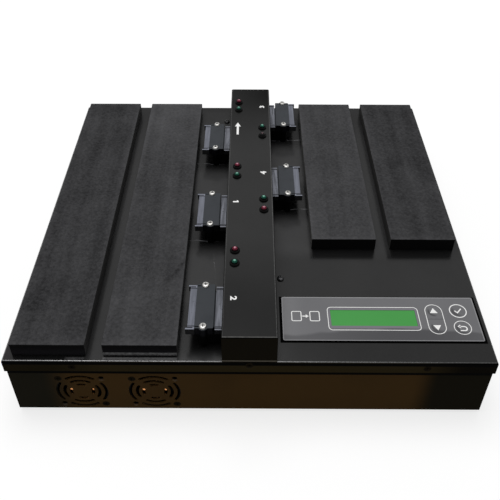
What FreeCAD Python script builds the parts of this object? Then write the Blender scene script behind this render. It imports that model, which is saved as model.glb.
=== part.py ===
"""Five-bay drive duplicator, built as a parametric document, in millimetres.

The frame: +Z up, +X right and +Y back, with the origin on the table under the middle of the case.
Every driving dimension is a cell of the sheet "Sizes"; formulas bind the features to those cells.
"""
import FreeCAD, Part
import math
import os
import re

import Sketcher

Vector = FreeCAD.Vector
doc = FreeCAD.newDocument("DriveDuplicator")

# ---------------------------------------------------------------- driving dimensions

SIZES = [
    # the case
    ("case_width", 360, "cover, left to right"),
    ("case_depth", 340, "cover, front to back"),
    ("case_height", 61, "tray's underside to the cover's top"),
    ("sheet", 1, "thickness of the steel"),
    ("fold_gap", 0.2, "play between the cover's flange and the tray's walls"),
    ("bend_radius", 1.2, "outer radius of the folds"),
    ("flange_height", 12, "how far the cover's flange comes down"),
    ("foot_height", 3, "rubber feet"),
    ("foot_radius", 8, "rubber feet"),
    ("foot_inset", 26, "feet's centres from the cover's edges"),
    ("fit", 0.1, "play round parts that are screwed or pushed in"),
    # the console down the middle
    ("ridge_width", 40, "console, left to right"),
    ("ridge_height", 27, "console above the cover"),
    ("ridge_length", 334, "console, from the cover's front"),
    ("ridge_radius", 1.4, "folds along the console's top"),
    ("ridge_tab", 9, "front wall's reach below the cover's top"),
    ("ridge_foot", 10, "flange under the cover"),
    # foam pads
    ("pad_height", 12, "foam thickness"),
    ("pad_start", 52.45, "inner pads' inner sides from the middle"),
    ("pad_margin", 6.55, "outer pads' outer sides from the cover's sides"),
    ("pad_between", 12.4, "between an inner and an outer pad"),
    ("pad_back", 11.5, "pads' back ends from the cover's back"),
    ("pad_long", 323, "left pads"),
    ("pad_short", 212, "right pads"),
    # drive positions
    ("slot_pitch", 110, "from one drive to the next"),
    ("slot_left", 36.4, "front left drive's centre line from the cover's front"),
    ("slot_right", 187.2, "front right drive's centre line from the cover's front"),
    ("bracket_reach", 36.2, "bracket's outer face from the middle"),
    ("bracket_length", 41, "bracket, front to back"),
    ("bracket_height", 12.5, "bracket's top above the cover"),
    ("bracket_gap", 0.4, "between the bracket and the console"),
    ("adapter_near", 26.4, "adapter body's inner face from the middle"),
    ("adapter_far", 40.2, "adapter body's outer face from the middle"),
    ("adapter_length", 42.6, "adapter body, front to back"),
    ("adapter_height", 7, "adapter body's thickness"),
    ("ear_radius", 3.4, "ears round the adapter's screws"),
    ("ear_step", 0.4, "bracket's ears inside the adapter's"),
    ("adapter_corner", 0.8, "adapter body's corners"),
    ("notch_depth", 3.2, "notches in the adapter's end beside the socket"),
    ("screw_line", 33.8, "adapter's screws from the middle"),
    ("screw_span", 40, "between an adapter's two screws"),
    ("socket_depth", 5.1, "drive socket, adapter to mouth"),
    ("socket_length", 38.6, "drive socket's shell"),
    ("socket_height", 5.6, "drive socket's shell"),
    ("socket_rise", 0.2, "drive socket above the bracket's top"),
    ("guide_length", 6.6, "guide arms, adapter to tip"),
    ("guide_width", 1.3, "guide arms"),
    ("guide_root", 1.2, "webs that join the guide arms to the shell"),
    ("guide_gap", 0.8, "between the shell and each guide arm"),
    ("key_slot", 1.7, "height of the slots in the socket's mouth"),
    ("signal_slot", 10.7, "length of the signal slot"),
    ("power_slot", 21.4, "length of the power slot"),
    ("slot_bridge", 2.2, "between the signal and power slots"),
    ("slot_depth", 4.2, "how deep the slots go"),
    ("key_leg", 1.4, "leg that makes each slot an L"),
    ("key_drop", 0.84, "how far that leg goes down"),
    ("contact_pitch", 1.27, "contacts in the slots"),
    ("contact_width", 0.8, "contacts in the slots"),
    ("contact_height", 0.3, "contacts in the slots"),
    ("contact_end", 1.2, "contacts' tips behind the mouth"),
    ("plug_near", 15, "link plug's inner end from the middle"),
    ("plug_far", 25.4, "link plug's outer end from the middle"),
    ("plug_length", 42, "link plug, front to back"),
    ("plug_height", 4.6, "link plug"),
    ("groove_depth", 1.4, "grooves across the link plug"),
    ("tongue_height", 1.4, "adapter's tongue in the link plug"),
    ("tongue_length", 34, "adapter's tongue in the link plug"),
    ("tongue_reach", 3, "adapter's tongue beyond its body"),
    # light-emitting diodes
    ("led_radius", 2.5, "domes"),
    ("led_body", 8.6, "height of a diode without its legs"),
    ("led_rise", 3.8, "dome's top above the console"),
    ("led_line", 11.9, "diodes from the middle"),
    ("led_offset", 36.6, "green diode from its drive's centre line"),
    ("led_pitch", 14.1, "green diode to red diode"),
    ("led_rim", 2.9, "radius of the diode's rim"),
    ("led_rim_height", 0.9, "the diode's rim"),
    ("led_leg", 0.5, "side of a diode's leg"),
    ("led_leg_pitch", 2.54, "between a diode's legs"),
    ("bezel_radius", 4, "bezel's flange"),
    ("bezel_rise", 1.4, "bezel's flange above the console"),
    ("bezel_slope", 0.5, "bevel round the bezel's flange"),
    ("bezel_wall", 0.5, "bezel's barrel"),
    ("bezel_barrel", 3.8, "bezel's barrel below the console's top"),
    ("board", 1.6, "thickness of the circuit boards"),
    ("led_board_drop", 6.8, "diodes' board below the console's top"),
    ("led_board_front", 30, "diodes' board from the console's front"),
    ("led_board_back", 12, "diodes' board from the console's back"),
    # control panel
    ("panel_gap", 5, "between the console and the front plate"),
    ("panel_margin", 5, "front plate from the cover's right side"),
    ("panel_depth", 42.5, "front plate"),
    ("panel_height", 1.2, "front plate above the cover"),
    ("panel_radius", 1.4, "front plate's corners"),
    ("panel_y", 40.25, "front plate's middle, from the cover's front"),
    ("panel_lap", 5, "how far the plate laps over its opening"),
    ("window_width", 65.5, "display window"),
    ("window_depth", 15.5, "display window"),
    ("window_x", 80, "window's middle from the plate's right end"),
    ("window_y", 0.5, "window's middle from the plate's middle"),
    ("display_rise", 1, "display glass above the cover"),
    ("display_glass", 2.6, "display glass"),
    ("display_frame", 2.9, "frame round the display glass"),
    ("display_side", 4.8, "frame in front of and behind the glass"),
    ("board_drop", 7, "panel board below the cover's top"),
    ("round_key", 6, "radius of the OK and back keys"),
    ("round_key_x", 13.7, "OK and back keys from the plate's right end"),
    ("round_key_y", 8.15, "OK and back keys from the key row's middle"),
    ("arrow_key_x", 32.7, "up and down keys from the plate's right end"),
    ("arrow_key_length", 27.8, "up and down keys together"),
    ("arrow_key_width", 12.4, "up and down keys"),
    ("key_row_y", -0.4, "key row's middle from the plate's middle"),
    ("key_gap", 0.2, "round each key"),
    ("key_travel", 0.4, "stroke of a key"),
    ("key_lip", 0.7, "lip that keeps a key under the plate"),
    ("key_lip_height", 0.7, "lip that keeps a key under the plate"),
    ("stem_radius", 1.6, "stem under a key"),
    ("switch_width", 6, "tact switch"),
    ("switch_height", 3.5, "tact switch"),
    ("button_radius", 1.7, "tact switch's button"),
    ("button_height", 0.8, "tact switch's button"),
    ("post_radius", 2.6, "posts that carry the panel board"),
    ("post_inset", 3.6, "posts from the opening's sides"),
    # fans
    ("fan_width", 40, "fan frame"),
    ("fan_depth", 10, "fan frame"),
    ("fan_hole_pitch", 32, "fan frame's screw holes"),
    ("fan_bore", 18.8, "radius of the fan frame's duct"),
    ("fan_tip", 18.2, "radius of the blades"),
    ("fan_corner", 3, "radius of the fan frame's corners"),
    ("fan_level", 22.75, "front fans' axes above the tray's underside"),
    ("fan_left", 53.3, "left fan's axis from the case's left side"),
    ("fan_pitch", 55, "left fan to right fan"),
    ("hub_radius", 12, "rotor cup"),
    ("hub_wall", 1.2, "rotor cup"),
    ("hub_bevel", 0.8, "rotor cup's edge"),
    ("hub_length", 7.4, "rotor cup"),
    ("hub_start", 1.8, "rotor cup's rim behind the fan's face"),
    ("blade_count", 7, "blades of a rotor"),
    ("blade_thickness", 0.9, "blades of a rotor"),
    ("blade_angle", 38, "pitch of the blades, in degrees"),
    ("motor_radius", 7, "motor's base plate"),
    ("motor_plate", 1.5, "motor's base plate and its struts"),
    ("strut_width", 2.2, "struts of the fan frame"),
    ("strut_root", 0.6, "struts' ends inside the frame"),
    ("bearing_radius", 2.4, "bearing tube"),
    ("bearing_end", 0.6, "bearing tube from the rotor cup's floor"),
    ("bore_start", 0.6, "shaft's bore behind the fan's face"),
    ("shaft_radius", 1, "fan shaft"),
    ("shaft_gap", 0.05, "fan shaft in its bearing"),
    ("coil_reach", 8.8, "middle of each winding from the axis"),
    ("coil_radius", 2.6, "windings"),
    ("coil_length", 2.6, "windings, along the spoke"),
    ("coil_level", 3.2, "windings' middle behind the fan's face"),
    ("spoke_width", 1.2, "spokes that carry the windings"),
    # grilles: ring slots in front of each fan
    ("ring_inner", 7.15, "inner ring slots' inner radius"),
    ("ring_middle", 12, "middle ring slots' inner radius"),
    ("ring_outer", 17.2, "outer ring slots' inner radius"),
    ("ring_width", 2.5, "each ring slot"),
    # screws
    ("screw_radius", 1.5, "all screws"),
    ("head_radius", 2.75, "pan heads"),
    ("head_height", 2, "pan heads"),
    ("flat_head_radius", 2.8, "countersunk heads"),
    ("flat_head_height", 1.3, "countersunk heads"),
    ("flat_screw_length", 5, "countersunk screws"),
    ("pan_screw_length", 5, "black pan-head screws under the head"),
    ("cross_width", 0.8, "recess in the heads"),
    ("cross_length", 3, "recess in the heads"),
    ("cross_depth", 0.9, "recess in the heads"),
    ("flange_screw_x", 50.5, "front and back flange screws from the case's sides"),
    ("flange_screw_y", 70, "side flange screws from the case's front and back"),
    ("flange_screw_drop", 6.5, "flange screws below the cover's top"),
    ("tab_screw_drop", 3.6, "front middle screw below the cover's top"),
    ("ridge_screw_gap", 5, "console's screws from its walls"),
    ("ridge_screw_front", 82, "console's right screw from the cover's front"),
    ("ridge_screw_back", 310.6, "console's left screw from the cover's front"),
    # power supply, mains inlet and switch
    ("supply_width", 81.5, "power supply"),
    ("supply_depth", 150, "power supply"),
    ("supply_height", 42.5, "power supply"),
    ("supply_x", 58, "power supply's middle from the case's left side"),
    ("supply_lap", 3.5, "tray's wall over the supply's face, all round"),
    ("supply_cord", 6, "radius of the supply's cable exit"),
    ("supply_fan_x", -15.5, "supply's fan from the supply's middle"),
    ("inlet_x", 20.5, "mains inlet from the supply's middle"),
    ("inlet_width", 28, "mains inlet's body"),
    ("inlet_height", 33, "mains inlet's body with the switch above it"),
    ("inlet_flange", 1, "flange round the inlet's body"),
    ("inlet_depth", 19, "mains inlet's body"),
    ("mains_width", 24, "cavity for the mains plug"),
    ("mains_height", 16, "cavity for the mains plug"),
    ("mains_depth", 16, "cavity for the mains plug"),
    ("mains_drop", 7.6, "cavity's middle below the inlet's middle"),
    ("mains_corner", 4, "cut lower corners of the cavity"),
    ("mains_pin_width", 2, "pins"),
    ("mains_pin_height", 4, "pins"),
    ("mains_pin_length", 14, "pins"),
    ("mains_pin_pitch", 7, "pin to pin"),
    ("mains_pin_rise", 4, "earth pin above the other two"),
    ("rocker_rise", 9, "rocker's pivot above the inlet's middle"),
    ("rocker_width", 19, "rocker"),
    ("rocker_height", 9.4, "rocker"),
    ("rocker_tilt", 9, "rocker's tilt each way from its middle, in degrees"),
    ("rocker_axle", 1.2, "radius of the rocker's axle"),
    ("rocker_sink", 3, "rocker's axle behind the flange"),
    ("rocker_gap", 0.6, "round the rocker"),
    ("rocker_back", 2.4, "rocker's back behind its axle"),
    ("rocker_well", 9, "rocker's well behind the flange"),
    ("rocker_nose", 0.4, "rocker's middle in front of the flange"),
    ("axle_end", 2, "rocker's axle beyond each side"),
    ("vent_width", 3, "vent slots in the back wall"),
    ("vent_height", 24, "vent slots in the back wall"),
    ("vent_pitch", 7, "vent slot to vent slot"),
    ("vent_x", 38, "first vent slot from the middle"),
    ("vent_level", 28, "vent slots' middle above the tray's underside"),
    # main board
    ("main_width", 140, "main board"),
    ("main_depth", 110, "main board"),
    ("main_x", 20, "main board's middle from the case's middle"),
    ("main_y", 40, "main board's middle from the case's middle"),
    ("standoff_height", 8, "standoffs under the main board"),
    ("standoff_radius", 2.75, "standoffs under the main board"),
    ("standoff_inset", 5, "standoffs from the board's edges"),
    ("standoff_bore", 4, "screw holes in the standoffs"),
    ("sink_width", 34, "heat sink, square"),
    ("sink_base", 4, "heat sink's base"),
    ("sink_height", 14, "heat sink with its fins"),
    ("fin_width", 1.5, "heat sink's fins"),
    ("header_width", 15, "drive headers"),
    ("header_depth", 7, "drive headers"),
    ("header_height", 8.5, "drive headers"),
    ("header_pitch", 18, "drive headers"),
    ("header_edge", 4, "drive headers from the board's back edge"),
    ("power_width", 10, "power header"),
    ("power_depth", 52, "power header"),
    ("power_height", 12, "power header"),
    ("power_edge", 6, "power header from the board's left edge"),
]

VENTS = 10
FINS = 6

sheet = doc.addObject("Spreadsheet::Sheet", "Sizes")
for row, (alias, number, note) in enumerate(SIZES, start=1):
    sheet.set(f"A{row}", alias.replace("_", " ") + ": " + note)
    sheet.set(f"B{row}", str(number))
    sheet.setAlias(f"B{row}", alias)
doc.recompute()

ALIASES = {alias for alias, number, note in SIZES}


def formula(text):
    """The formula with each name of the sheet written in full."""
    return re.sub(r"[a-z_]+", lambda m: "Sizes." + m[0] if m[0] in ALIASES else m[0], str(text))


def value(text):
    """What a formula comes to now, as a number."""
    found = sheet.evalExpression(formula(text))
    return float(getattr(found, "Value", found))


def around(middle, half):
    """The two ends of a span, as formulas."""
    return (f"{middle} - ({half})", f"{middle} + ({half})")


def bind(item, **formulas):
    """Bind properties to formulas; a dot in a property's name is written as two underscores."""
    for name, text in formulas.items():
        item.setExpression(name.replace("__", "."), formula(text))
    return item


# ---------------------------------------------------------------- places that several pieces share

TOP = "(foot_height + case_height)"
FLOOR = "(foot_height + sheet)"
FRONT = "(-case_depth / 2)"
BACK = "(case_depth / 2)"
FOLD = "(sheet + fold_gap)"
TRAY_X = f"(case_width / 2 - {FOLD})"
TRAY_Y = f"(case_depth / 2 - {FOLD})"
WALL_IN = f"({FRONT} + {FOLD} + sheet)"
RIDGE_FRONT = f"({FRONT} + sheet)"
RIDGE_BACK = f"({FRONT} + ridge_length)"
RIDGE_TOP = f"({TOP} + ridge_height)"
HOLE = "(screw_radius + fit / 2)"
PANEL_WIDTH = "(case_width / 2 - ridge_width / 2 - panel_gap - panel_margin)"
PANEL_X = f"(case_width / 2 - panel_margin - {PANEL_WIDTH} / 2)"
PANEL_Y = f"({FRONT} + panel_y)"
KEYS_Y = f"({PANEL_Y} + key_row_y)"
WINDOW_X = f"({PANEL_WIDTH} / 2 - window_x)"
ARROW_X = f"({PANEL_WIDTH} / 2 - arrow_key_x)"
ROUND_X = f"({PANEL_WIDTH} / 2 - round_key_x)"
OPENING_X = f"({PANEL_WIDTH} / 2 - panel_lap)"
OPENING_Y = "(panel_depth / 2 - panel_lap)"
LEFT = "(-case_width / 2)"
FAN_Z = "(foot_height + fan_level)"
SUPPLY_FACE = f"({TRAY_Y} - sheet)"
SUPPLY_Z = f"({FLOOR} + supply_height / 2)"
SUPPLY_X = f"({LEFT} + supply_x)"
SUPPLY_FAN_X = f"({SUPPLY_X} + supply_fan_x)"
INLET_X = f"({SUPPLY_X} + inlet_x)"
ROCKER_Z = f"({SUPPLY_Z} + rocker_rise)"
ROCKER_Y = f"({TRAY_Y} + inlet_flange - rocker_sink)"

# each drive position: side of the console (-1 left, 1 right) and centre line, front to back
SLOTS = {
    "source": (-1, f"({FRONT} + slot_left + 2 * slot_pitch)"),
    "1": (-1, f"({FRONT} + slot_left + slot_pitch)"),
    "2": (-1, f"({FRONT} + slot_left)"),
    "3": (1, f"({FRONT} + slot_right + slot_pitch)"),
    "4": (1, f"({FRONT} + slot_right)"),
}
FANS = {"left": f"({LEFT} + fan_left)", "right": f"({LEFT} + fan_left + fan_pitch)"}

# ---------------------------------------------------------------- ways of making

UP = FreeCAD.Rotation()
ALONG_X = FreeCAD.Rotation(Vector(0, 1, 0), 90)
ALONG_Y = FreeCAD.Rotation(Vector(1, 0, 0), -90)
TO_FRONT = FreeCAD.Rotation(Vector(1, 0, 0), 90)
TO_LEFT = FreeCAD.Rotation(Vector(0, 1, 0), -90)
HALF_TURN = FreeCAD.Rotation(Vector(0, 0, 1), 180)

made = {}


def fresh(kind, name):
    """A new object of the document, named after what it is."""
    return doc.addObject(kind, "".join(word.capitalize() for word in name.split("_")))


def place(item, x="0", y="0", z="0", turn=UP):
    item.Placement = FreeCAD.Placement(Vector(), turn)
    bind(item, Placement__Base__x=x, Placement__Base__y=y, Placement__Base__z=z)
    return item


def block(name, x, y, z):
    """A box from the low to the high formula of each of its three pairs."""
    item = fresh("Part::Box", name)
    bind(item, Length=f"({x[1]}) - ({x[0]})", Width=f"({y[1]}) - ({y[0]})", Height=f"({z[1]}) - ({z[0]})")
    return place(item, x[0], y[0], z[0])


def rod(name, radius, length, x="0", y="0", z="0", turn=UP):
    """A cylinder from a point, along the turned Z axis."""
    item = fresh("Part::Cylinder", name)
    bind(item, Radius=radius, Height=length)
    return place(item, x, y, z, turn)


def cone(name, radius, tip_radius, length, z):
    item = fresh("Part::Cone", name)
    bind(item, Radius1=radius, Radius2=tip_radius, Height=length)
    return place(item, z=z)


def union(name, pieces):
    item = fresh("Part::MultiFuse", name)
    item.Shapes = pieces
    item.Refine = True
    return item


def group(name, pieces):
    """Separate solids in one object."""
    item = fresh("Part::Compound", name)
    item.Links = pieces
    return item


def cut(name, base, tools):
    item = fresh("Part::Cut", name)
    item.Base = base
    item.Tool = tools[0] if len(tools) == 1 else group(name + "_tools", tools)
    item.Refine = True
    return item


def copy_of(master, name, x="0", y="0", z="0", turn=UP):
    item = fresh("App::Link", name)
    item.LinkedObject = master
    return place(item, x, y, z, turn)


def node(name, item):
    """Keep an object as a piece of the hand-in, under its own label."""
    item.Label = name
    made[name] = item
    return item


def new_body(name):
    return fresh("PartDesign::Body", name + "_body")


def new_sketch(body, name, role="XY_Plane", level="0"):
    """A sketch on one of the body's own planes, moved along the plane's normal by a formula."""
    plane = [entry for entry in body.Origin.OriginFeatures if entry.Role == role][0]
    sketch = body.newObject("Sketcher::SketchObject", name)
    sketch.AttachmentSupport = [(plane, "")]
    sketch.MapMode = "FlatFace"
    return bind(sketch, AttachmentOffset__Base__z=level)


def outline(sketch, points):
    """A closed outline of straight edges through points, each a pair of formulas."""
    spots = [Vector(value(x), value(y), 0) for x, y in points]
    count = len(points)
    first = sketch.GeometryCount
    for at in range(count):
        sketch.addGeometry(Part.LineSegment(spots[at], spots[(at + 1) % count]), False)
    for at in range(count):
        sketch.addConstraint(Sketcher.Constraint("Coincident", first + at, 2, first + (at + 1) % count, 1))
    for at, (x, y) in enumerate(points):
        for kind, text, now in (("DistanceX", x, spots[at].x), ("DistanceY", y, spots[at].y)):
            index = sketch.addConstraint(Sketcher.Constraint(kind, -1, 1, first + at, 1, now))
            sketch.setExpression(f"Constraints[{index}]", formula(text))


def rectangle(sketch, x, y):
    outline(sketch, [(x[0], y[0]), (x[1], y[0]), (x[1], y[1]), (x[0], y[1])])


def pad(body, sketch, length, reverse=False):
    item = body.newObject("PartDesign::Pad", sketch.Name + "Pad")
    item.Profile = sketch
    item.Reversed = reverse
    bind(item, Length=length)
    doc.recompute()
    return item


def pocket(body, sketch, length, reverse=False):
    """Cut the sketch into the body, against the sketch's normal unless reversed."""
    before = body.Shape.Volume
    item = body.newObject("PartDesign::Pocket", sketch.Name + "Pocket")
    item.Profile = sketch
    item.Reversed = reverse
    bind(item, Length=length)
    doc.recompute()
    if not body.Shape.Volume < before:
        raise RuntimeError(item.Name + " cuts nothing")
    return item


def revolve(body, sketch):
    """Turn the sketch once round its own vertical axis."""
    item = body.newObject("PartDesign::Revolution", sketch.Name + "Turned")
    item.Profile = sketch
    item.ReferenceAxis = (sketch, ["V_Axis"])
    item.Angle = 360
    doc.recompute()
    return item


def soften(body, feature, radius, chosen):
    """Round the edges of a feature for which chosen(edge) holds."""
    names = [f"Edge{at}" for at, edge in enumerate(feature.Shape.Edges, start=1) if chosen(edge)]
    item = body.newObject("PartDesign::Fillet", feature.Name + "Rounded")
    item.Base = (feature, names)
    bind(item, Radius=radius)
    doc.recompute()
    return item


def runs_along(edge, axis):
    """Whether a straight edge lies along one axis, 0 for X, 1 for Y or 2 for Z."""
    way = edge.Vertexes[-1].Point - edge.Vertexes[0].Point
    return way.Length > 0 and abs(way[axis]) > 0.999 * way.Length


def rounded_plate(name, x, y, z, radius):
    """A plate with rounded corners, lying in the XY plane."""
    body = new_body(name)
    sketch = new_sketch(body, name + "_outline", level=z[0])
    rectangle(sketch, x, y)
    base = pad(body, sketch, f"({z[1]}) - ({z[0]})")
    soften(body, base, radius, lambda edge: runs_along(edge, 2))
    return body


def long_hole(name, width, height, depth):
    """A cutter for an upright slot with round ends, along Y, its middle at the origin."""
    half = f"({height} / 2 - {width} / 2)"
    pieces = [block(name + "_middle", (f"-{width} / 2", f"{width} / 2"), (f"-{depth} / 2", f"{depth} / 2"),
                    (f"-{half}", half))]
    for end, level in (("low", f"-{half}"), ("high", half)):
        pieces.append(rod(f"{name}_{end}", f"{width} / 2", depth, y=f"-{depth} / 2", z=level, turn=ALONG_Y))
    return union(name, pieces)


# ---------------------------------------------------------------- screws

def screw_head_cross(name, top):
    """The cross recess, cut from a formula for the head's top."""
    low = f"({top} - cross_depth)"
    high = f"({top} + 1)"
    long_way = ("-cross_length / 2", "cross_length / 2")
    short_way = ("-cross_width / 2", "cross_width / 2")
    return union(name, [
        block(name + "_a", long_way, short_way, (low, high)),
        block(name + "_b", short_way, long_way, (low, high)),
    ])


def pan_screw(name, length):
    """A pan-head screw that stands on z = 0, its shank going down."""
    body = new_body(name)
    sketch = new_sketch(body, name + "_profile", role="XZ_Plane")
    outline(sketch, [
        ("0", f"-({length})"),
        ("screw_radius", f"-({length})"),
        ("screw_radius", "0"),
        ("head_radius", "0"),
        ("head_radius", "head_height * 0.45"),
        ("head_radius * 0.84", "head_height * 0.84"),
        ("head_radius * 0.5", "head_height"),
        ("0", "head_height"),
    ])
    revolve(body, sketch)
    return cut(name, body, [screw_head_cross(name + "_cross", "head_height")])


def flat_screw(name):
    """A countersunk screw, its head's face at z = 0."""
    body = new_body(name)
    sketch = new_sketch(body, name + "_profile", role="XZ_Plane")
    outline(sketch, [
        ("0", "-flat_screw_length"),
        ("screw_radius", "-flat_screw_length"),
        ("screw_radius", "-flat_head_height"),
        ("flat_head_radius", "0"),
        ("0", "0"),
    ])
    revolve(body, sketch)
    return cut(name, body, [screw_head_cross(name + "_cross", "0")])


def flat_screw_hole():
    """Cutter for a countersunk screw's seat and clearance hole, through flange and wall."""
    seat = cone("flat_seat", f"{HOLE}", "flat_head_radius + fit", "flat_head_height + fit / 2",
                "-(flat_head_height + fit / 2)")
    shaft = rod("flat_shaft", HOLE, "flat_screw_length + 4", z="-flat_screw_length - 2")
    return union("flat_hole", [seat, shaft])


silver_screw = pan_screw("silver_screw", "bracket_height + adapter_height + sheet + fit")
black_screw = pan_screw("black_screw", "pan_screw_length")
sunk_screw = flat_screw("sunk_screw")
sunk_hole = flat_screw_hole()

# countersunk screws of the flange: name, x, y, z and the way the head faces
FLANGE_SCREWS = [("front_middle", "0", FRONT, f"{TOP} - tab_screw_drop", TO_FRONT)]
FLANGE_Z = f"{TOP} - flange_screw_drop"
SCREW_X = "(case_width / 2 - flange_screw_x)"
ACROSS = {"left": "-" + SCREW_X, "middle": "0", "right": SCREW_X}
ALONG = {"front": "-(case_depth / 2 - flange_screw_y)", "back": "case_depth / 2 - flange_screw_y"}
for side, x in ACROSS.items():
    FLANGE_SCREWS.append(("back_" + side, x, BACK, FLANGE_Z, ALONG_Y))
    if side != "middle":
        FLANGE_SCREWS.append(("front_" + side, x, FRONT, FLANGE_Z, TO_FRONT))
for end, y in ALONG.items():
    FLANGE_SCREWS.append(("left_" + end, LEFT, y, FLANGE_Z, TO_LEFT))
    FLANGE_SCREWS.append(("right_" + end, "case_width / 2", y, FLANGE_Z, ALONG_X))


# the front fans' corner holes; each fan has screws in two opposite corners only
FAN_HOLES = []
FAN_SCREWS = []
for side, x in FANS.items():
    for corner, across, up in (("a", "-", "+"), ("b", "+", "-"), ("c", "+", "+"), ("d", "-", "-")):
        spot = (f"fan_{side}_{corner}", f"{x} {across} fan_hole_pitch / 2", f"{FRONT} + {FOLD}",
                f"{FAN_Z} {up} fan_hole_pitch / 2", TO_FRONT)
        FAN_HOLES.append(spot)
        if corner in "ab":
            FAN_SCREWS.append(spot)


def copies(master, name, spots):
    return [copy_of(master, f"{name}_{spot}", x, y, z, turn) for spot, x, y, z, turn in spots]


RIDGE_SCREWS = [
    ("right", "ridge_width / 2 + ridge_screw_gap", f"{FRONT} + ridge_screw_front"),
    ("left", "-ridge_width / 2 - ridge_screw_gap", f"{FRONT} + ridge_screw_back"),
]
SLOT_SCREWS = []
for name, (side, y) in SLOTS.items():
    for end, way in (("front", "-"), ("back", "+")):
        SLOT_SCREWS.append((f"{name}_{end}", f"{side} * screw_line", f"{y} {way} screw_span / 2"))

# ---------------------------------------------------------------- grille: ring slots


def ring_slot(name, inner, span):
    """A cutter along Y: a slot along an arc, centred on straight up, with round ends."""
    outer = f"({inner} + ring_width)"
    middle = f"({inner} + ring_width / 2)"
    pieces = []
    for edge, radius in (("outside", outer), ("inside", inner)):
        item = fresh("Part::Cylinder", f"{name}_{edge}")
        bind(item, Radius=radius, Height="4 * sheet")
        pieces.append(item)
    pieces[0].Angle = span
    start = 90 - span / 2
    for item in pieces:
        item.Placement = FreeCAD.Placement(Vector(), FreeCAD.Rotation(Vector(0, 0, 1), start))
    arc = cut(name + "_arc", pieces[0], [pieces[1]])
    ends = []
    for mark, angle in (("first", start), ("last", start + span)):
        way = math.radians(angle)
        ends.append(rod(f"{name}_{mark}", "ring_width / 2", "4 * sheet",
                        x=f"{middle} * {math.cos(way):.9f}", y=f"{middle} * {math.sin(way):.9f}"))
    return union(name, [arc] + ends)


# each ring of slots with its span between the round ends' centres, in degrees
RINGS = {"ring_inner": 35, "ring_middle": 60, "ring_outer": 66}


def grille_cutter():
    """All the ring slots in front of one fan, their axis along Y through the origin."""
    tools = []
    for ring, span in RINGS.items():
        slot = ring_slot(f"{ring}_slot", ring, span)
        for quarter in range(4):
            turn = ALONG_Y.multiply(FreeCAD.Rotation(Vector(0, 0, 1), 90 * quarter))
            tools.append(copy_of(slot, f"{ring}_{quarter}", y="-2 * sheet", turn=turn))
    return group("grille_cutter", tools)


grille = grille_cutter()

# ---------------------------------------------------------------- case


def folded_pan(name, half_x, half_y, low, high, opens_up):
    """A folded pan with four walls: a tray that opens up, or a cover that opens down."""
    body = new_body(name)
    sketch = new_sketch(body, name + "_outline", level=low)
    rectangle(sketch, (f"-{half_x}", half_x), (f"-{half_y}", half_y))
    base = pad(body, sketch, f"({high}) - ({low})")
    plate = value(low if opens_up else high)
    soften(body, base, "bend_radius",
           lambda edge: all(abs(corner.Z - plate) < 1e-6 for corner in edge.Vertexes))
    floor = f"({low}) + sheet" if opens_up else f"({high}) - sheet"
    inside = new_sketch(body, name + "_inside", level=floor)
    rectangle(inside, around("0", f"{half_x} - sheet"), around("0", f"{half_y} - sheet"))
    pocket(body, inside, f"({high}) - ({low})", reverse=opens_up)
    return body


def build_tray():
    body = folded_pan("tray", TRAY_X, TRAY_Y, "foot_height", f"{TOP} - sheet", True)
    tools = [block("tab_notch", ("-ridge_width / 2 - fit", "ridge_width / 2 + fit"),
                   (f"{FRONT}", f"{WALL_IN} + sheet"), (f"{TOP} - ridge_tab - fit", f"{TOP} + sheet"))]
    tools += copies(sunk_hole, "tray_hole", FLANGE_SCREWS + FAN_HOLES)
    for side, x in FANS.items():
        tools.append(copy_of(grille, f"grille_{side}", x, f"{FRONT} + {FOLD} + sheet / 2", FAN_Z))
    reach = "(supply_width / 2 - supply_lap)"
    tools.append(block("supply_window", (f"{SUPPLY_X} - {reach}", f"{SUPPLY_X} + {reach}"),
                       (f"{SUPPLY_FACE} - sheet", f"{TRAY_Y} + sheet"),
                       (f"{FLOOR} + supply_lap", f"{FLOOR} + supply_height - supply_lap")))
    vent = long_hole("vent", "vent_width", "vent_height", "(4 * sheet)")
    for at in range(VENTS):
        tools.append(copy_of(vent, f"vent_{at}", f"vent_x + {at} * vent_pitch", f"{TRAY_Y} - sheet / 2",
                             "foot_height + vent_level"))
    return cut("base_tray", body, tools)


def build_cover():
    body = folded_pan("cover", "(case_width / 2)", "(case_depth / 2)", f"{TOP} - flange_height", TOP, False)
    across = ("-ridge_width / 2 - fit", "ridge_width / 2 + fit")
    tools = [
        block("console_opening", across, (f"{RIDGE_FRONT} - fit", f"{RIDGE_BACK} + fit"),
              (f"{TOP} - flange_height / 2", f"{TOP} + sheet")),
        block("flange_notch", across, (f"{FRONT} - sheet", f"{FRONT} + 2 * sheet"),
              (f"{TOP} - bend_radius / 2", f"{TOP} + sheet")),
        block("panel_opening", (f"{PANEL_X} - {OPENING_X}", f"{PANEL_X} + {OPENING_X}"),
              (f"{PANEL_Y} - {OPENING_Y}", f"{PANEL_Y} + {OPENING_Y}"),
              (f"{TOP} - 2 * sheet", f"{TOP} + sheet")),
    ]
    tools += copies(sunk_hole, "cover_hole", FLANGE_SCREWS)
    for name, x, y in RIDGE_SCREWS + SLOT_SCREWS:
        tools.append(rod(f"cover_screw_hole_{name}", HOLE, "4 * sheet", x, y, f"{TOP} - 2 * sheet"))
    return cut("top_cover", body, tools)


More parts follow.
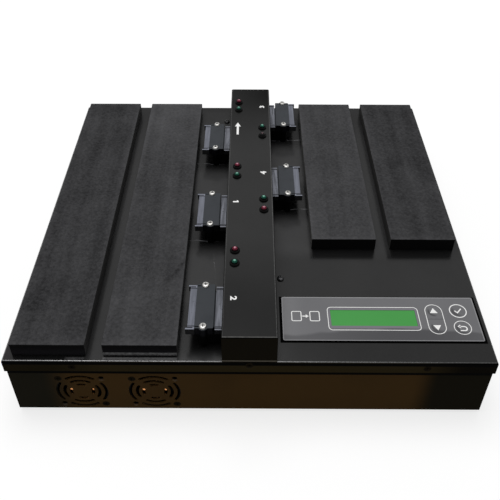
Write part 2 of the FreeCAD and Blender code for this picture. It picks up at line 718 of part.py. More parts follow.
def build_ridge():
    body = new_body("ridge")
    low = f"({TOP} - 2 * sheet)"
    half = "ridge_width / 2"
    main = new_sketch(body, "ridge_outline", level=low)
    rectangle(main, (f"-{half}", half), (RIDGE_FRONT, RIDGE_BACK))
    channel = pad(body, main, f"{RIDGE_TOP} - {low}")
    top = value(RIDGE_TOP)
    soften(body, channel, "ridge_radius",
           lambda edge: runs_along(edge, 1) and abs(edge.CenterOfMass.z - top) < 1e-6)
    hollow = new_sketch(body, "ridge_hollow", level=f"{RIDGE_TOP} - sheet")
    rectangle(hollow, (f"-{half} + sheet", f"{half} - sheet"),
              (f"{RIDGE_FRONT} + sheet", f"{RIDGE_BACK} - sheet"))
    pocket(body, hollow, f"{RIDGE_TOP} - {low}")
    feet = new_sketch(body, "ridge_feet", level=low)
    along = (f"{RIDGE_FRONT} + flange_height", f"{RIDGE_BACK} - sheet")
    rectangle(feet, (f"-{half} - ridge_foot", f"-{half} + sheet"), along)
    rectangle(feet, (f"{half} - sheet", f"{half} + ridge_foot"), along)
    pad(body, feet, "sheet")
    tab = new_sketch(body, "ridge_tab", level=low)
    rectangle(tab, (f"-{half}", half), (RIDGE_FRONT, f"{RIDGE_FRONT} + sheet"))
    pad(body, tab, f"{low} - {TOP} + ridge_tab", reverse=True)

    tools = [copy_of(sunk_hole, "tab_hole", "0", FRONT, f"{TOP} - tab_screw_drop", TO_FRONT)]
    for name, x, y in RIDGE_SCREWS:
        tools.append(rod(f"ridge_screw_hole_{name}", HOLE, "4 * sheet", x, y, f"{TOP} - 4 * sheet"))
    shelf = f"{TOP} + bracket_height"
    for name, (side, y) in SLOTS.items():
        wall = f"{side} * ({half} - sheet / 2)"
        tools.append(block(f"plug_window_{name}", around(wall, "sheet"), around(y, "plug_length / 2 + fit"),
                           (f"{shelf} - fit", f"{shelf} + plug_height + fit")))
    for name, x, y in LEDS:
        tools.append(rod(f"led_hole_{name}", "led_radius + fit / 2 + bezel_wall + fit / 2", "4 * sheet",
                         x, y, f"{RIDGE_TOP} - 2 * sheet"))
    return cut("ridge_housing", body, tools)


# every diode: name, x, y; the pair stands behind its drive's line on the left, in front of it on the right
LEDS = []
for name, (side, y) in SLOTS.items():
    for colour, away in (("green", "led_offset"), ("red", "(led_offset + led_pitch)")):
        LEDS.append((f"{colour}_{name}", f"{side} * led_line", f"{y} - {side} * {away}"))


def build_case():
    node("base_tray", build_tray())
    node("top_cover", build_cover())
    node("ridge_housing", build_ridge())
    foot = rod("foot", "foot_radius", "foot_height")
    feet = []
    for side, x in (("left", "-1"), ("right", "1")):
        for end, y in (("front", "-1"), ("back", "1")):
            feet.append(copy_of(foot, f"foot_{side}_{end}", f"{x} * (case_width / 2 - foot_inset)",
                                f"{y} * (case_depth / 2 - foot_inset)"))
    node("rubber_feet", group("rubber_feet", feet))


def build_pads():
    """Foam blocks that the drives lie on, all ending at one line at the back."""
    end = f"{BACK} - pad_back"
    width = "((case_width / 2 - pad_margin - pad_start - pad_between) / 2)"
    middles = {
        "inner": f"(pad_start + {width} / 2)",
        "outer": f"(case_width / 2 - pad_margin - {width} / 2)",
    }
    for side, sign, length in (("left", "-1", "pad_long"), ("right", "1", "pad_short")):
        for row, middle in middles.items():
            x = f"{sign} * {middle}"
            name = f"foam_pad_{side}_{row}"
            node(name, block(name, around(x, f"{width} / 2"), (f"{end} - {length}", end),
                             (TOP, f"{TOP} + pad_height")))


# ---------------------------------------------------------------- drive positions
# Built once, facing left, with z = 0 on the cover's top and y = 0 on the drive's centre line.

SHELF = "bracket_height"
SOCKET_MID = f"({SHELF} + socket_height / 2 + socket_rise)"
PLUG_MID = f"({SHELF} + plug_height / 2)"


def screw_pair(name, radius, low, high):
    return [rod(f"{name}_{end}", radius, f"({high}) - ({low})", "-screw_line", f"{way}screw_span / 2", low)
            for end, way in (("front", "-"), ("back", ""))]


def build_bracket():
    core = block("bracket_core", ("-bracket_reach", "-ridge_width / 2 - bracket_gap"),
                 ("-bracket_length / 2", "bracket_length / 2"), ("0", SHELF))
    solid = union("bracket_solid", [core] + screw_pair("bracket_ear", "ear_radius - ear_step", "0", SHELF))
    return cut("slot_bracket", solid, screw_pair("bracket_hole", HOLE, "-1", f"{SHELF} + 1"))


def build_adapter():
    high = f"{SHELF} + adapter_height"
    body = rounded_plate("adapter_plate", ("-adapter_far", "-adapter_near"),
                         ("-adapter_length / 2", "adapter_length / 2"), (SHELF, high), "adapter_corner")
    tongue = block("adapter_tongue", ("-adapter_near - 1", "-adapter_near + tongue_reach"),
                   around("0", "tongue_length / 2"), around(PLUG_MID, "tongue_height / 2"))
    solid = union("adapter_solid", [body, tongue] + screw_pair("adapter_ear", "ear_radius", SHELF, high))
    tools = screw_pair("adapter_hole", HOLE, f"{SHELF} - 1", f"{high} + 1")
    for end, sign in (("front", "-1"), ("back", "1")):
        middle = f"{sign} * (socket_length / 2 + guide_gap / 2)"
        tools.append(block(f"adapter_notch_{end}", ("-adapter_far - 1", "-adapter_far + notch_depth"),
                           (f"{middle} - guide_gap / 2", f"{middle} + guide_gap / 2"),
                           (f"{SHELF} + socket_height / 2", f"{high} + 1")))
    return cut("adapter_body", solid, tools)


def build_socket():
    """The 22-pin receptacle: a shell with two L-shaped slots and a guide arm at each end."""
    low = f"{SOCKET_MID} - socket_height / 2"
    high = f"{SOCKET_MID} + socket_height / 2"
    mouth = "-adapter_far - socket_depth"
    tall = (low, high)
    pieces = [block("socket_shell", (mouth, "-adapter_far"), around("0", "socket_length / 2"), tall)]
    for end, sign in (("front", "-1"), ("back", "1")):
        inner = f"{sign} * (socket_length / 2 + guide_gap)"
        outer = f"{sign} * (socket_length / 2 + guide_gap + guide_width)"
        pair = (outer, inner) if sign == "-1" else (inner, outer)
        bridge = (inner, "-socket_length / 2") if sign == "-1" else ("socket_length / 2", inner)
        for mark, length, span in (("arm", "guide_length", pair), ("root", "guide_root", bridge)):
            reach = (f"-adapter_far - {length}", "-adapter_far")
            pieces.append(block(f"guide_{mark}_{end}", reach, span, tall))
    solid = union("socket_solid", pieces)
    reach = (f"{mouth} - 1", f"{mouth} + slot_depth")
    total = "(power_slot + slot_bridge + signal_slot)"
    rail = (f"{SOCKET_MID} - key_slot / 2", f"{SOCKET_MID} + key_slot / 2")
    leg = (f"{SOCKET_MID} - key_slot / 2 - key_drop", f"{SOCKET_MID} + key_slot / 2")
    tools = []
    for name, start, stop in (("power", f"-{total} / 2", f"-{total} / 2 + power_slot"),
                              ("signal", f"{total} / 2 - signal_slot", f"{total} / 2")):
        foot = (start, f"{start} + key_leg") if name == "power" else (f"{stop} - key_leg", stop)
        tools.append(union(f"socket_{name}", [block(f"socket_{name}_rail", reach, (start, stop), rail),
                                              block(f"socket_{name}_leg", reach, foot, leg)]))
    return cut("drive_socket", solid, tools)


def build_plug():
    high = f"{SHELF} + plug_height"
    solid = block("plug_solid", ("-plug_far", "-plug_near"), around("0", "plug_length / 2"), (SHELF, high))
    tools = [block("plug_mouth", ("-plug_far - 1", "-adapter_near + tongue_reach + fit"),
                   around("0", "tongue_length / 2 + fit"), around(PLUG_MID, "tongue_height / 2 + fit"))]
    for end, sign in (("front", "-1"), ("back", "1")):
        line = f"{sign} * (plug_length / 2 - guide_width - guide_gap / 2)"
        tools.append(block(f"plug_groove_{end}", ("-plug_far - 1", "-ridge_width / 2 - bracket_gap"),
                           around(line, "guide_gap / 2"), (f"{high} - groove_depth", f"{high} + 1")))
    return cut("link_plug", solid, tools)


def contact_strip():
    """The 22 spring contacts of one socket, in the floor of its slots, as separate solids."""
    pitch = value("contact_pitch")
    width = value("contact_width")
    total = value("power_slot + slot_bridge + signal_slot")
    low = value(SOCKET_MID) - value("key_slot") / 2
    back = -value("adapter_far") - value("socket_depth") + value("slot_depth")
    length = value("slot_depth - contact_end")
    height = value("contact_height")
    runs = [(-total / 2 + value("power_slot") / 2 + value("key_leg") / 2, 15),
            (total / 2 - value("signal_slot") / 2 - value("key_leg") / 2, 7)]
    strips = []
    for middle, count in runs:
        for at in range(count):
            y = middle + (at - (count - 1) / 2) * pitch - width / 2
            strips.append(Part.makeBox(length, width, height, Vector(back - length, y, low)))
    item = fresh("Part::Feature", "contact_strip")
    item.Shape = Part.makeCompound(strips)
    return item


def build_slots():
    masters = {"slot_bracket": build_bracket(), "adapter_body": build_adapter(),
               "drive_socket": build_socket(), "link_plug": build_plug()}
    strip = contact_strip()
    strips = []
    for slot, (side, y) in SLOTS.items():
        turn = UP if side < 0 else HALF_TURN
        for name, master in masters.items():
            node(f"{name}_{slot}", copy_of(master, f"{name}_{slot}", "0", y, TOP, turn))
        strips.append(copy_of(strip, f"contacts_{slot}", "0", y, TOP, turn))
    node("socket_contacts", group("socket_contacts", strips))
    level = f"{TOP} + {SHELF} + adapter_height"
    node("slot_screws", group("slot_screws", [copy_of(silver_screw, f"slot_screw_{name}", x, y, level)
                                              for name, x, y in SLOT_SCREWS]))


# ---------------------------------------------------------------- diodes in the console

def build_leds():
    """Domed diodes in black bezels, standing on a board under the console's top; z = 0 on that top."""
    shell = new_body("led_bezel")
    ring = new_sketch(shell, "bezel_profile", role="XZ_Plane")
    bore = "led_radius + fit / 2"
    outline(ring, [
        (bore, "-sheet - bezel_barrel + sheet"),
        (f"{bore} + bezel_wall", "-sheet - bezel_barrel + sheet"),
        (f"{bore} + bezel_wall", "0"),
        ("bezel_radius", "0"),
        ("bezel_radius", "bezel_rise * 0.5"),
        ("bezel_radius - bezel_slope", "bezel_rise"),
        (bore, "bezel_rise"),
    ])
    revolve(shell, ring)

    low = "(led_rise - led_body)"
    lamp = union("led", [
        rod("led_tube", "led_radius", "led_body - led_radius", z=low),
        rod("led_rim", "led_rim", "led_rim_height", z=low),
        place(bind(fresh("Part::Sphere", "led_dome"), Radius="led_radius"), z="led_rise - led_radius"),
    ] + [
        block(f"led_leg_{end}", around("0", "led_leg / 2"), around(y, "led_leg / 2"),
              ("-led_board_drop", f"{low} + led_leg"))
        for end, y in (("front", "-led_leg_pitch / 2"), ("back", "led_leg_pitch / 2"))
    ])
    node("led_bezels", group("led_bezels", [copy_of(shell, f"bezel_{name}", x, y, RIDGE_TOP)
                                            for name, x, y in LEDS]))
    for colour in ("red", "green"):
        node(f"{colour}_leds", group(f"{colour}_leds", [copy_of(lamp, f"led_{name}", x, y, RIDGE_TOP)
                                                        for name, x, y in LEDS if name.startswith(colour)]))
    half = "(ridge_width / 2 - sheet)"
    high = f"({RIDGE_TOP} - led_board_drop)"
    node("led_board", block("led_board", around("0", half),
                            (f"{RIDGE_FRONT} + led_board_front", f"{RIDGE_BACK} - led_board_back"),
                            (f"{high} - board", high)))


# ---------------------------------------------------------------- control panel

def stadium(name, radius, length, low, high):
    """An upright cylinder stretched along Y, its middle at the origin."""
    half = f"({length} / 2 - {radius})"
    pieces = [block(name + "_bar", (f"-({radius})", radius), (f"-{half}", half), (low, high))]
    for end, y in (("front", f"-{half}"), ("back", half)):
        pieces.append(rod(f"{name}_{end}", radius, f"({high}) - ({low})", "0", y, low))
    return union(name, pieces)


KEY_LEVEL = "-key_lip_height - fit"
STEM_END = "(-board_drop + switch_height + button_height + key_travel + fit / 2)"


def build_round_key():
    """A round key cap with its lip and stem; z = 0 on the cover's top."""
    return union("round_key", [
        rod("round_cap", "round_key", f"panel_height - ({KEY_LEVEL})", z=KEY_LEVEL),
        rod("round_lip", "round_key + key_gap + key_lip", "key_lip_height", z=KEY_LEVEL),
        rod("round_stem", "stem_radius", f"1 - {STEM_END}", z=STEM_END),
    ])


def build_arrow_key():
    """Half of the long key row, behind y = 0, with a flat edge at the front."""
    radius = "arrow_key_width / 2"
    cap = stadium("arrow_cap", f"({radius})", "arrow_key_length", KEY_LEVEL, "panel_height")
    wider = "(key_gap + key_lip)"
    lip = stadium("arrow_lip", f"({radius} + {wider})", f"(arrow_key_length + 2 * {wider})", KEY_LEVEL,
                  f"({KEY_LEVEL}) + key_lip_height")
    stem = rod("arrow_stem", "stem_radius", f"1 - {STEM_END}", y="arrow_key_length / 4", z=STEM_END)
    whole = union("arrow_key_whole", [cap, lip, stem])
    away = block("arrow_key_front", around("0", "arrow_key_width"), ("-arrow_key_length", "key_gap / 2"),
                 ("-board_drop", "panel_height + 1"))
    return cut("arrow_key", whole, [away])


def build_panel():
    plate = rounded_plate("panel_plate", around("0", f"{PANEL_WIDTH} / 2"), around("0", "panel_depth / 2"),
                          ("0", "panel_height"), "panel_radius")
    columns = (f"-({OPENING_X} - post_inset)", f"({ARROW_X} + {ROUND_X}) / 2")
    spots = [(x, f"{along} * ({OPENING_Y} - post_inset)") for x in columns for along in ("-1", "1")]
    tall = "board_drop + panel_height / 2"
    posts = [rod(f"panel_post_{at}", "post_radius", tall, *spot, "-board_drop")
             for at, spot in enumerate(spots)]
    solid = union("panel_solid", [plate] + posts)
    arrow_hole = stadium("arrow_hole", "(arrow_key_width / 2 + key_gap)",
                         "(arrow_key_length + 2 * key_gap)", "-1", "panel_height + 1")
    round_hole = rod("round_hole", "round_key + key_gap", "panel_height + 2", z="-1")
    window_x = around(WINDOW_X, "window_width / 2")
    window_y = around("window_y", "window_depth / 2")
    tools = [block("window_hole", window_x, window_y, ("-1", "panel_height + 1")),
             copy_of(arrow_hole, "arrow_hole_place", ARROW_X, "key_row_y"),
             copy_of(round_hole, "ok_hole", ROUND_X, "key_row_y + round_key_y"),
             copy_of(round_hole, "back_hole", ROUND_X, "key_row_y - round_key_y")]
    screws = []
    for at, spot in enumerate(spots):
        tools.append(rod(f"post_hole_{at}", HOLE, "pan_screw_length", *spot, "-board_drop - 1"))
        screws.append((f"panel_{at}", f"{PANEL_X} + {spot[0]}", f"{PANEL_Y} + {spot[1]}",
                       f"{TOP} - board_drop - board"))
    panel = cut("control_panel", solid, tools)
    node("control_panel", place(panel, PANEL_X, PANEL_Y, TOP))

    glass = block("lcd_glass", around(WINDOW_X, "window_width / 2 - fit"),
                  around("window_y", "window_depth / 2 - fit"),
                  ("display_rise - display_glass", "display_rise"))
    node("lcd_glass", group("lcd_glass", [glass]))
    place(made["lcd_glass"], PANEL_X, PANEL_Y, TOP)
    frame = block("lcd_frame", around(WINDOW_X, "window_width / 2 + display_frame"),
                  around("window_y", "window_depth / 2 + display_side"), ("-board_drop", "0"))
    bed = block("lcd_bed", window_x, window_y, ("display_rise - display_glass", "1"))
    node("lcd_bezel", place(cut("lcd_bezel", frame, [bed]), PANEL_X, PANEL_Y, TOP))

    plate = block("panel_board_plate", around("0", f"{OPENING_X} - fit"), around("0", f"{OPENING_Y} - fit"),
                  ("-board_drop - board", "-board_drop"))
    holes = [rod(f"panel_board_hole_{at}", HOLE, "board + 2", *spot, "-board_drop - board - 1")
             for at, spot in enumerate(spots)]
    node("panel_board", place(cut("panel_board", plate, holes), PANEL_X, PANEL_Y, TOP))

    half = "switch_width / 2"
    switch = union("switch", [
        block("switch_case", (f"-{half}", half), (f"-{half}", half), ("0", "switch_height")),
        rod("switch_button", "button_radius", "switch_height + button_height"),
    ])
    round_cap = build_round_key()
    arrow_cap = build_arrow_key()
    arrow_x = f"{PANEL_X} + {ARROW_X}"
    round_x = f"{PANEL_X} + {ROUND_X}"
    keys = {
        "up": (arrow_cap, arrow_x, KEYS_Y, UP, "arrow_key_length / 4"),
        "down": (arrow_cap, arrow_x, KEYS_Y, HALF_TURN, "-arrow_key_length / 4"),
        "ok": (round_cap, round_x, f"{KEYS_Y} + round_key_y", UP, "0"),
        "back": (round_cap, round_x, f"{KEYS_Y} - round_key_y", UP, "0"),
    }
    switches = []
    for name, (master, x, y, turn, away) in keys.items():
        node(f"key_{name}", copy_of(master, f"key_{name}", x, y, TOP, turn))
        switches.append(copy_of(switch, f"switch_{name}", x, f"{y} + {away}", f"{TOP} - board_drop"))
    node("tact_switches", group("tact_switches", switches))
    return screws


# ---------------------------------------------------------------- fans
# Built once, facing front: the axis is Y, and y = 0 is the face that lies on the wall.

def build_fan_frame():
    half = "fan_width / 2"
    body = new_body("fan_frame")
    square = new_sketch(body, "fan_square", role="XZ_Plane")
    rectangle(square, (f"-{half}", half), (f"-{half}", half))
    base = pad(body, square, "fan_depth", reverse=True)
    soften(body, base, "fan_corner", lambda edge: runs_along(edge, 1))
    bore = rod("fan_duct", "fan_bore", "fan_depth + 2", y="-1", turn=ALONG_Y)
    holes = []
    for across in ("-1", "1"):
        for up in ("-1", "1"):
            name = f"fan_hole{across}{up}".replace("-", "m")
            x = f"{across} * fan_hole_pitch / 2"
            z = f"{up} * fan_hole_pitch / 2"
            holes.append(rod(name, HOLE, "fan_depth + 2", x, "-1", z, ALONG_Y))
            holes.append(copy_of(sunk_hole, name + "_seat", x, "-sheet", z, TO_FRONT))
    shell = cut("fan_shell", body, [bore] + holes)
    pieces = [shell,
              rod("motor_plate", "motor_radius", "motor_plate", turn=ALONG_Y),
              rod("bearing_tube", "bearing_radius", "hub_start + hub_length - hub_wall - bearing_end",
                  turn=ALONG_Y)]
    for at in range(4):
        turn = FreeCAD.Rotation(Vector(0, 1, 0), 45 + 90 * at)
        strut = block(f"strut_{at}", ("0", "1"), ("0", "motor_plate"), ("0", "1"))
        bind(strut, Length="fan_bore + strut_root", Height="strut_width")
        strut.Placement = FreeCAD.Placement(Vector(), turn)
        way = math.radians(45 + 90 * at)
        bind(strut, Placement__Base__x=f"-{math.sin(way):.9f} * strut_width / 2", Placement__Base__y="0",
             Placement__Base__z=f"-{math.cos(way):.9f} * strut_width / 2")
        pieces.append(strut)
    solid = union("fan_frame_solid", pieces)
    bore = rod("bearing_bore", "shaft_radius + shaft_gap", "fan_depth", y="bore_start", turn=ALONG_Y)
    return cut("fan_frame", solid, [bore])


def build_fan_rotor():
    """Cup, shaft and blades; the cup's rim faces the front."""
    cup = new_body("rotor_cup")
    profile = new_sketch(cup, "cup_profile")
    start = "hub_start"
    stop = "(hub_start + hub_length)"
    outline(profile, [
        ("0", "1"),
        ("shaft_radius", "1"),
        ("shaft_radius", f"{stop} - hub_wall"),
        ("hub_radius - hub_wall", f"{stop} - hub_wall"),
        ("hub_radius - hub_wall", start),
        ("hub_radius", start),
        ("hub_radius", f"{stop} - hub_bevel"),
        ("hub_radius - hub_bevel", stop),
        ("0", stop),
    ])
    revolve(cup, profile)
    rotor = union("fan_rotor", [cup, build_blades()])
    rotor.Refine = False
    return rotor


def blade_outline(radius, shift):
    """A thin closed arc of constant thickness, in the plane that stands at one radius from the axis."""
    angle = math.radians(value("blade_angle"))
    half = value("hub_length") / 2 - 0.6
    middle = value("hub_start + hub_length / 2")
    thick = value("blade_thickness") / 2
    bow = 0.9
    reach = half / math.tan(angle)
    ends = [Vector(radius, middle - half, -reach + shift), Vector(radius, middle + half, reach + shift)]
    across = Vector(0, -math.cos(angle), math.sin(angle))
    centre = (ends[0] + ends[1]) * 0.5 + across * bow
    front = [ends[0] + across * thick, centre + across * thick, ends[1] + across * thick]
    back = [ends[1] - across * thick, centre - across * thick, ends[0] - across * thick]
    edges = [Part.Arc(*front).toShape(), Part.LineSegment(front[2], back[0]).toShape(),
             Part.Arc(*back).toShape(), Part.LineSegment(back[2], front[0]).toShape()]
    return Part.Wire(edges)


def build_blades():
    """Blades lofted from the cup to just inside the duct."""
    root = value("hub_radius - hub_wall") + 0.2
    tip = value("fan_tip")
    tube = Part.makeCylinder(tip, value("fan_depth"), Vector(0, 0, 0), Vector(0, 1, 0))
    blade = Part.makeLoft([blade_outline(root, 0), blade_outline(tip + 1, 1.2)], True, True).common(tube)
    count = int(value("blade_count"))
    shapes = []
    for at in range(count):
        turned = blade.copy()
        turned.rotate(Vector(0, 0, 0), Vector(0, 1, 0), 360 * at / count)
        shapes.append(turned)
    item = fresh("Part::Feature", "fan_blades")
    item.Shape = Part.makeCompound(shapes)
    return item


def build_fan_coils():
    """Four copper windings on spokes round the bearing tube."""
    half = "spoke_width / 2"
    arm = union("fan_winding", [
        rod("fan_coil", "coil_radius", "coil_length", "coil_reach - coil_length / 2", turn=ALONG_X),
        block("fan_spoke", ("bearing_radius + fit", "coil_reach"), around("0", half), around("0", half)),
    ])
    start = f"coil_level - {half}"
    outside = rod("spoke_ring_outside", "bearing_radius + 1", "spoke_width", y=start, turn=ALONG_Y)
    inside = rod("spoke_ring_inside", "bearing_radius", "spoke_width + 2", y=f"{start} - 1", turn=ALONG_Y)
    arms = []
    for at in range(4):
        turn = FreeCAD.Rotation(Vector(0, 1, 0), 90 * at)
        arms.append(copy_of(arm, f"fan_winding_{at}", y="coil_level", turn=turn))
    return union("fan_coils", [cut("spoke_ring", outside, [inside])] + arms)


def build_fans():
    """Two fans behind the front wall and one in the power supply."""
    masters = {"frame": build_fan_frame(), "rotor": build_fan_rotor(), "coils": build_fan_coils()}
    places = {
        "fan_left": (FANS["left"], WALL_IN, FAN_Z, UP),
        "fan_right": (FANS["right"], WALL_IN, FAN_Z, UP),
        "supply_fan": (SUPPLY_FAN_X, f"{SUPPLY_FACE} - sheet", SUPPLY_Z, HALF_TURN),
    }
    for fan, (x, y, z, turn) in places.items():
        for name, master in masters.items():
            if (fan, name) != ("supply_fan", "coils"):
                node(f"{fan}_{name}", copy_of(master, f"{fan}_{name}", x, y, z, turn))


# ---------------------------------------------------------------- power supply and main board

def build_supply():
    x = (f"{SUPPLY_X} - supply_width / 2", f"{SUPPLY_X} + supply_width / 2")
    y = (f"{SUPPLY_FACE} - supply_depth", SUPPLY_FACE)
    z = (FLOOR, f"{FLOOR} + supply_height")
    outer = block("supply_outer", x, y, z)
    inner = block("supply_inner", *[(f"{low} + sheet", f"{high} - sheet") for low, high in (x, y, z)])
    cord_exit = rod("supply_cord_exit", "supply_cord", "4 * sheet", SUPPLY_X, f"{y[0]} - sheet", SUPPLY_Z,
                    ALONG_Y)
    half = "(inlet_width / 2 + fit)"
    tall = "(inlet_height / 2 - inlet_flange + fit)"
    ways = [copy_of(grille, "grille_supply", SUPPLY_FAN_X, f"{SUPPLY_FACE} - sheet / 2", SUPPLY_Z),
            block("inlet_cutout", (f"{INLET_X} - {half}", f"{INLET_X} + {half}"),
                  (f"{SUPPLY_FACE} - 2 * sheet", f"{SUPPLY_FACE} + sheet"),
                  (f"{SUPPLY_Z} - {tall}", f"{SUPPLY_Z} + {tall}"))]
    node("supply_case", cut("supply_case", outer, [inner, cord_exit] + ways))


def build_inlet():
    """Mains inlet with the rocker's frame above it, in one moulding."""
    half = "inlet_width / 2"
    tall = "(inlet_height / 2 - inlet_flange)"
    face = f"{TRAY_Y}"
    core = block("inlet_core", (f"{INLET_X} - {half}", f"{INLET_X} + {half}"),
                 (f"{face} - inlet_depth", face), (f"{SUPPLY_Z} - {tall}", f"{SUPPLY_Z} + {tall}"))
    lip = block("inlet_lip", (f"{INLET_X} - {half} - inlet_flange", f"{INLET_X} + {half} + inlet_flange"),
                (f"{SUPPLY_FACE}", f"{face} + inlet_flange / 2"),
                (f"{SUPPLY_Z} - inlet_height / 2", f"{SUPPLY_Z} + inlet_height / 2"))
    solid = union("inlet_solid", [core, lip])
    out = f"{face} + inlet_flange"
    low = f"({SUPPLY_Z} - mains_drop)"

    body = new_body("mains_cavity")
    sketch = new_sketch(body, "mains_outline", role="XZ_Plane", level=f"-({face} - mains_depth)")
    left = f"{INLET_X} - mains_width / 2"
    right = f"{INLET_X} + mains_width / 2"
    floor = f"{low} - mains_height / 2"
    roof = f"{low} + mains_height / 2"
    outline(sketch, [
        (f"{left} + mains_corner", floor),
        (f"{right} - mains_corner", floor),
        (right, f"{floor} + mains_corner"),
        (right, roof),
        (left, roof),
        (left, f"{floor} + mains_corner"),
    ])
    pad(body, sketch, "mains_depth + inlet_flange", reverse=True)

    wide = "(rocker_width / 2 + rocker_gap)"
    tall = "(rocker_height / 2 + rocker_gap)"
    well = block("rocker_well", around(INLET_X, wide), (f"{out} - rocker_well", out),
                 around(ROCKER_Z, tall))
    side = "(rocker_width / 2 + axle_end + rocker_gap)"
    axle = rod("rocker_axle_hole", "rocker_axle + shaft_gap", f"2 * {side}", f"{INLET_X} - {side}",
               ROCKER_Y, ROCKER_Z, ALONG_X)
    node("power_inlet", cut("power_inlet", solid, [body, well, axle]))

    pins = []
    start = f"{face} - mains_depth"
    for name, across, rise in (("line", "-mains_pin_pitch", "0"), ("earth", "0", "mains_pin_rise"),
                               ("neutral", "mains_pin_pitch", "0")):
        x = f"{INLET_X} + {across}"
        z = f"{low} + {rise}"
        pins.append(block(f"pin_{name}", (f"{x} - mains_pin_width / 2", f"{x} + mains_pin_width / 2"),
                          (start, f"{start} + mains_pin_length"),
                          (f"{z} - mains_pin_height / 2", f"{z} + mains_pin_height / 2")))
    node("inlet_pins", group("inlet_pins", pins))


def build_rocker():
    """A rocker with a shallow V face, its axle along X, drawn switched off: its lower end is pressed in."""
    body = new_body("rocker")
    sketch = new_sketch(body, "rocker_profile", role="YZ_Plane", level="-rocker_width / 2")
    tilt = "tan(rocker_tilt * 1deg)"
    half = "rocker_height / 2"
    rise = "(rocker_sink + rocker_nose)"
    outline(sketch, [
        (rise, "0"),
        (f"{rise} + {half} * {tilt}", half),
        ("-rocker_back", half),
        ("-rocker_back", f"-{half}"),
        (f"{rise} + {half} * {tilt}", f"-{half}"),
    ])
    pad(body, sketch, "rocker_width")
    axle = rod("rocker_axle", "rocker_axle", "rocker_width + 2 * axle_end", "-rocker_width / 2 - axle_end",
               turn=ALONG_X)
    solid = union("power_rocker", [body, axle])
    turn = FreeCAD.Rotation(Vector(1, 0, 0), -value("rocker_tilt"))
    node("power_rocker", place(solid, INLET_X, ROCKER_Y, ROCKER_Z, turn))


def build_main_board():
    """Controller board on four standoffs, with its heat sink, drive headers and power header."""
    low = f"({FLOOR} + standoff_height)"
    high = f"({low} + board)"
    spots = [(f"main_x {across} (main_width / 2 - standoff_inset)",
              f"main_y {along} (main_depth / 2 - standoff_inset)") for across in "-+" for along in "-+"]
    plate = block("main_plate", ("main_x - main_width / 2", "main_x + main_width / 2"),
                  ("main_y - main_depth / 2", "main_y + main_depth / 2"), (low, high))
    under = f"{low} - 1"
    holes = [rod(f"main_hole_{at}", HOLE, "board + 2", x, y, under) for at, (x, y) in enumerate(spots)]
    node("main_board", cut("main_board", plate, holes))
    posts = []
    for at, (x, y) in enumerate(spots):
        post = rod(f"standoff_post_{at}", "standoff_radius", "standoff_height", x, y, FLOOR)
        bore = rod(f"standoff_bore_{at}", HOLE, "standoff_bore + 1", x, y, f"{low} - standoff_bore")
        posts.append(cut(f"standoff_{at}", post, [bore]))
    node("board_standoffs", group("board_standoffs", posts))

    deep = around("main_y", "sink_width / 2")
    wide = around("main_x", "sink_width / 2")
    sink = [block("heat_sink_base", wide, deep, (high, f"{high} + sink_base"))]
    for at in range(FINS):
        x = f"(main_x - sink_width / 2 + {at} * (sink_width - fin_width) / {FINS - 1})"
        sink.append(block(f"heat_sink_fin_{at}", (x, f"{x} + fin_width"), deep,
                          (f"{high} + sink_base - fin_width", f"{high} + sink_height")))
    pieces = [union("heat_sink", sink)]
    edge = "(main_y + main_depth / 2 - header_edge)"
    for at in range(len(SLOTS)):
        x = f"(main_x - main_width / 2 + 2 * power_edge + power_width + {at} * header_pitch)"
        pieces.append(block(f"drive_header_{at}", (x, f"{x} + header_width"),
                            (f"{edge} - header_depth", edge), (high, f"{high} + header_height")))
    x = "(main_x - main_width / 2 + power_edge)"
    pieces.append(block("power_header", (x, f"{x} + power_width"), around("main_y", "power_depth / 2"),
                        (high, f"{high} + power_height")))
    node("board_parts", group("board_parts", pieces))
    return [(f"main_{at}", x, y, high) for at, (x, y) in enumerate(spots)]


# ---------------------------------------------------------------- the whole

build_case()
build_pads()
build_slots()
build_leds()
panel_screws = build_panel()
build_fans()
build_supply()
build_inlet()
build_rocker()
board_screws = build_main_board()

UPSIDE_DOWN = FreeCAD.Rotation(Vector(1, 0, 0), 180)
black = [copy_of(black_screw, f"ridge_screw_{name}", x, y, TOP) for name, x, y in RIDGE_SCREWS]
black += [copy_of(black_screw, f"screw_{name}", x, y, z) for name, x, y, z in board_screws]
black += [copy_of(black_screw, f"screw_{name}", x, y, z, UPSIDE_DOWN) for name, x, y, z in panel_screws]
node("black_pan_screws", group("black_pan_screws", black))
sunk = copies(sunk_screw, "flange_screw", FLANGE_SCREWS + FAN_SCREWS)
node("flange_screws", group("flange_screws", sunk))

doc.recompute()
for item in doc.Objects:
    if "Invalid" in item.State or "Error" in item.State:
        raise RuntimeError(f"{item.Name} failed: {item.State}")

os.makedirs("parts", exist_ok=True)
for name, item in made.items():
    shape = Part.getShape(item)
    if shape.isNull() or not shape.isValid() or not shape.Solids or shape.Volume <= 0:
        raise RuntimeError(f"{name} has no valid solid")
    shape.exportStep(f"parts/{name}.step")
    box = shape.BoundBox
    print(f"{name:28s} {len(shape.Solids):3d} solids {shape.Volume / 1000:9.3f} cm3 "
          f"x {box.XMin:8.2f} {box.XMax:8.2f} y {box.YMin:8.2f} {box.YMax:8.2f} "
          f"z {box.ZMin:7.2f} {box.ZMax:7.2f}")
print(len(made), "pieces")
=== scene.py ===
# %% [markdown]
# # A five-bay drive duplicator
#
# The object is a flat black sheet-metal case. Foam beds carry bare hard drives, a ridge down the
# middle holds the sockets and the lamps, and a small control panel sits at the front right.
#
# The solids come from a CAD model, so this lesson makes what CAD leaves out: finishes with the
# grain of the real surfaces, printed marks, foam with worn edges, and a soft studio to see them in.
# Everything is in metres. X points right, Y points back and Z points up.

import math

import bpy
import numpy as np
from mathutils import Matrix, Vector


